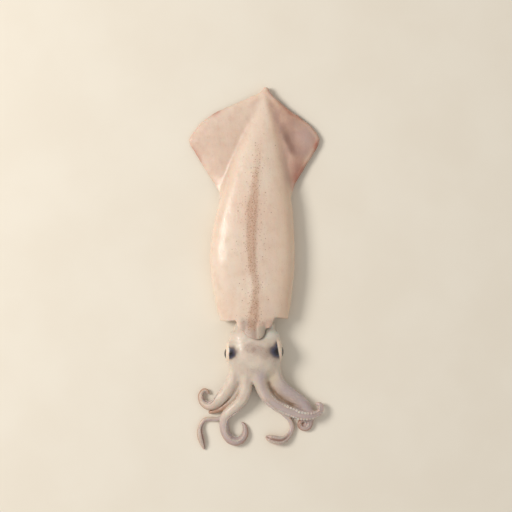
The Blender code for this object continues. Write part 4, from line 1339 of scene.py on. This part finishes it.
def eye_material():
    m, tree, shader = new_material("squid_eye")
    k = Nodes(tree)
    angle, a, b, _ = k.attribute("marks")
    fine = k.noise(0.8, 3.0, 0.6)
    veins = k.noise(2.2, 4.0, 0.65, distortion=1.2)
    edge = k.math("ADD", angle, k.math("MULTIPLY", k.math("SUBTRACT", fine, 0.5), 0.012))
    silver = k.mix(k.ramp(veins, 0.4, 0.62), srgb(196, 188, 178), srgb(150, 140, 138))
    col = k.mix(k.ramp(edge, 0.205, 0.225), srgb(8, 8, 12), silver)
    col = k.mix(k.ramp(edge, 0.33, 0.42), col, srgb(60, 54, 60))
    tree.links.new(col, shader.inputs["Base Color"])
    tree.links.new(k.ramp(fine, 0.3, 0.7, 0.10, 0.2), shader.inputs["Roughness"])
    shader.inputs["IOR"].default_value = 1.4
    shader.inputs["Coat Weight"].default_value = 0.9
    shader.inputs["Coat Roughness"].default_value = 0.04
    return m


def floor_material():
    m, tree, shader = new_material("pale_surface")
    k = Nodes(tree)
    grain = k.noise(60.0, 3.0, 0.5)
    tree.links.new(k.mix(k.ramp(grain, 0.3, 0.7), srgb(240, 233, 220), srgb(237, 229, 215)), shader.inputs["Base Color"])
    shader.inputs["Roughness"].default_value = 0.75
    return m


# ======================================================================
# Put it together
# ======================================================================
mantle = build_mantle()
mantle.data.materials.append(mantle_material())
head, LIMBS = build_head()
head.data.materials.append(head_material())
suckers = build_suckers(LIMBS)
suckers.data.materials.append(sucker_material())
for piece in (mantle, head, suckers):
    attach(piece, "root")
    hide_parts("squid")
eye_mat = eye_material()
for side in ("left", "right"):
    eyeball = build_eye(side)
    eyeball.data.materials.append(eye_mat)
    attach(eyeball, "root")
    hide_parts(f"eye_{side}")

# Surface it lies on
bpy.ops.mesh.primitive_plane_add(size=6.0, location=(0, 0, -0.00005))
floor = bpy.context.active_object
floor.name = "floor"
floor.data.materials.append(floor_material())

# Soft light from the left, so that shadows fall to the right
world = bpy.data.worlds.new("studio")
bpy.context.scene.world = world
world.use_nodes = True
world.node_tree.nodes["Background"].inputs[0].default_value = (1.0, 0.965, 0.91, 1.0)
world.node_tree.nodes["Background"].inputs[1].default_value = 0.46


def area(name, place, target, size, power, colour):
    lamp = bpy.data.lights.new(name, "AREA")
    lamp.shape = "DISK"
    lamp.size = size
    lamp.energy = power
    lamp.color = colour
    made = bpy.data.objects.new(name, lamp)
    bpy.context.scene.collection.objects.link(made)
    made.location = place
    made.rotation_mode = "QUATERNION"
    made.rotation_quaternion = (Vector(target) - Vector(place)).to_track_quat("-Z", "Y")
    return made


area("key", (-0.95, 0.28, 0.95), (0, 0, 0), 0.55, 12.2, (1.0, 0.96, 0.90))
area("fill", (0.8, -0.9, 1.3), (0, 0, 0), 1.4, 2.0, (0.96, 0.98, 1.0))

camera_data = bpy.data.cameras.new("camera")
camera_data.sensor_width = 36.0
DISTANCE = 1.2
camera_data.lens = 36.0 * (DISTANCE - 0.004) / 0.3584
camera = bpy.data.objects.new("camera", camera_data)
bpy.context.scene.collection.objects.link(camera)
# the picture's centre lies a little off the middle of the object
camera.location = ((256.0 - 256.75) * 0.7 * MM, (268.5 - 256.0) * 0.7 * MM, DISTANCE)
camera.rotation_euler = (0.0, 0.0, 0.0)
bpy.context.scene.camera = camera
bpy.context.scene.view_settings.view_transform = "Standard"
bpy.context.scene.view_settings.look = "None"
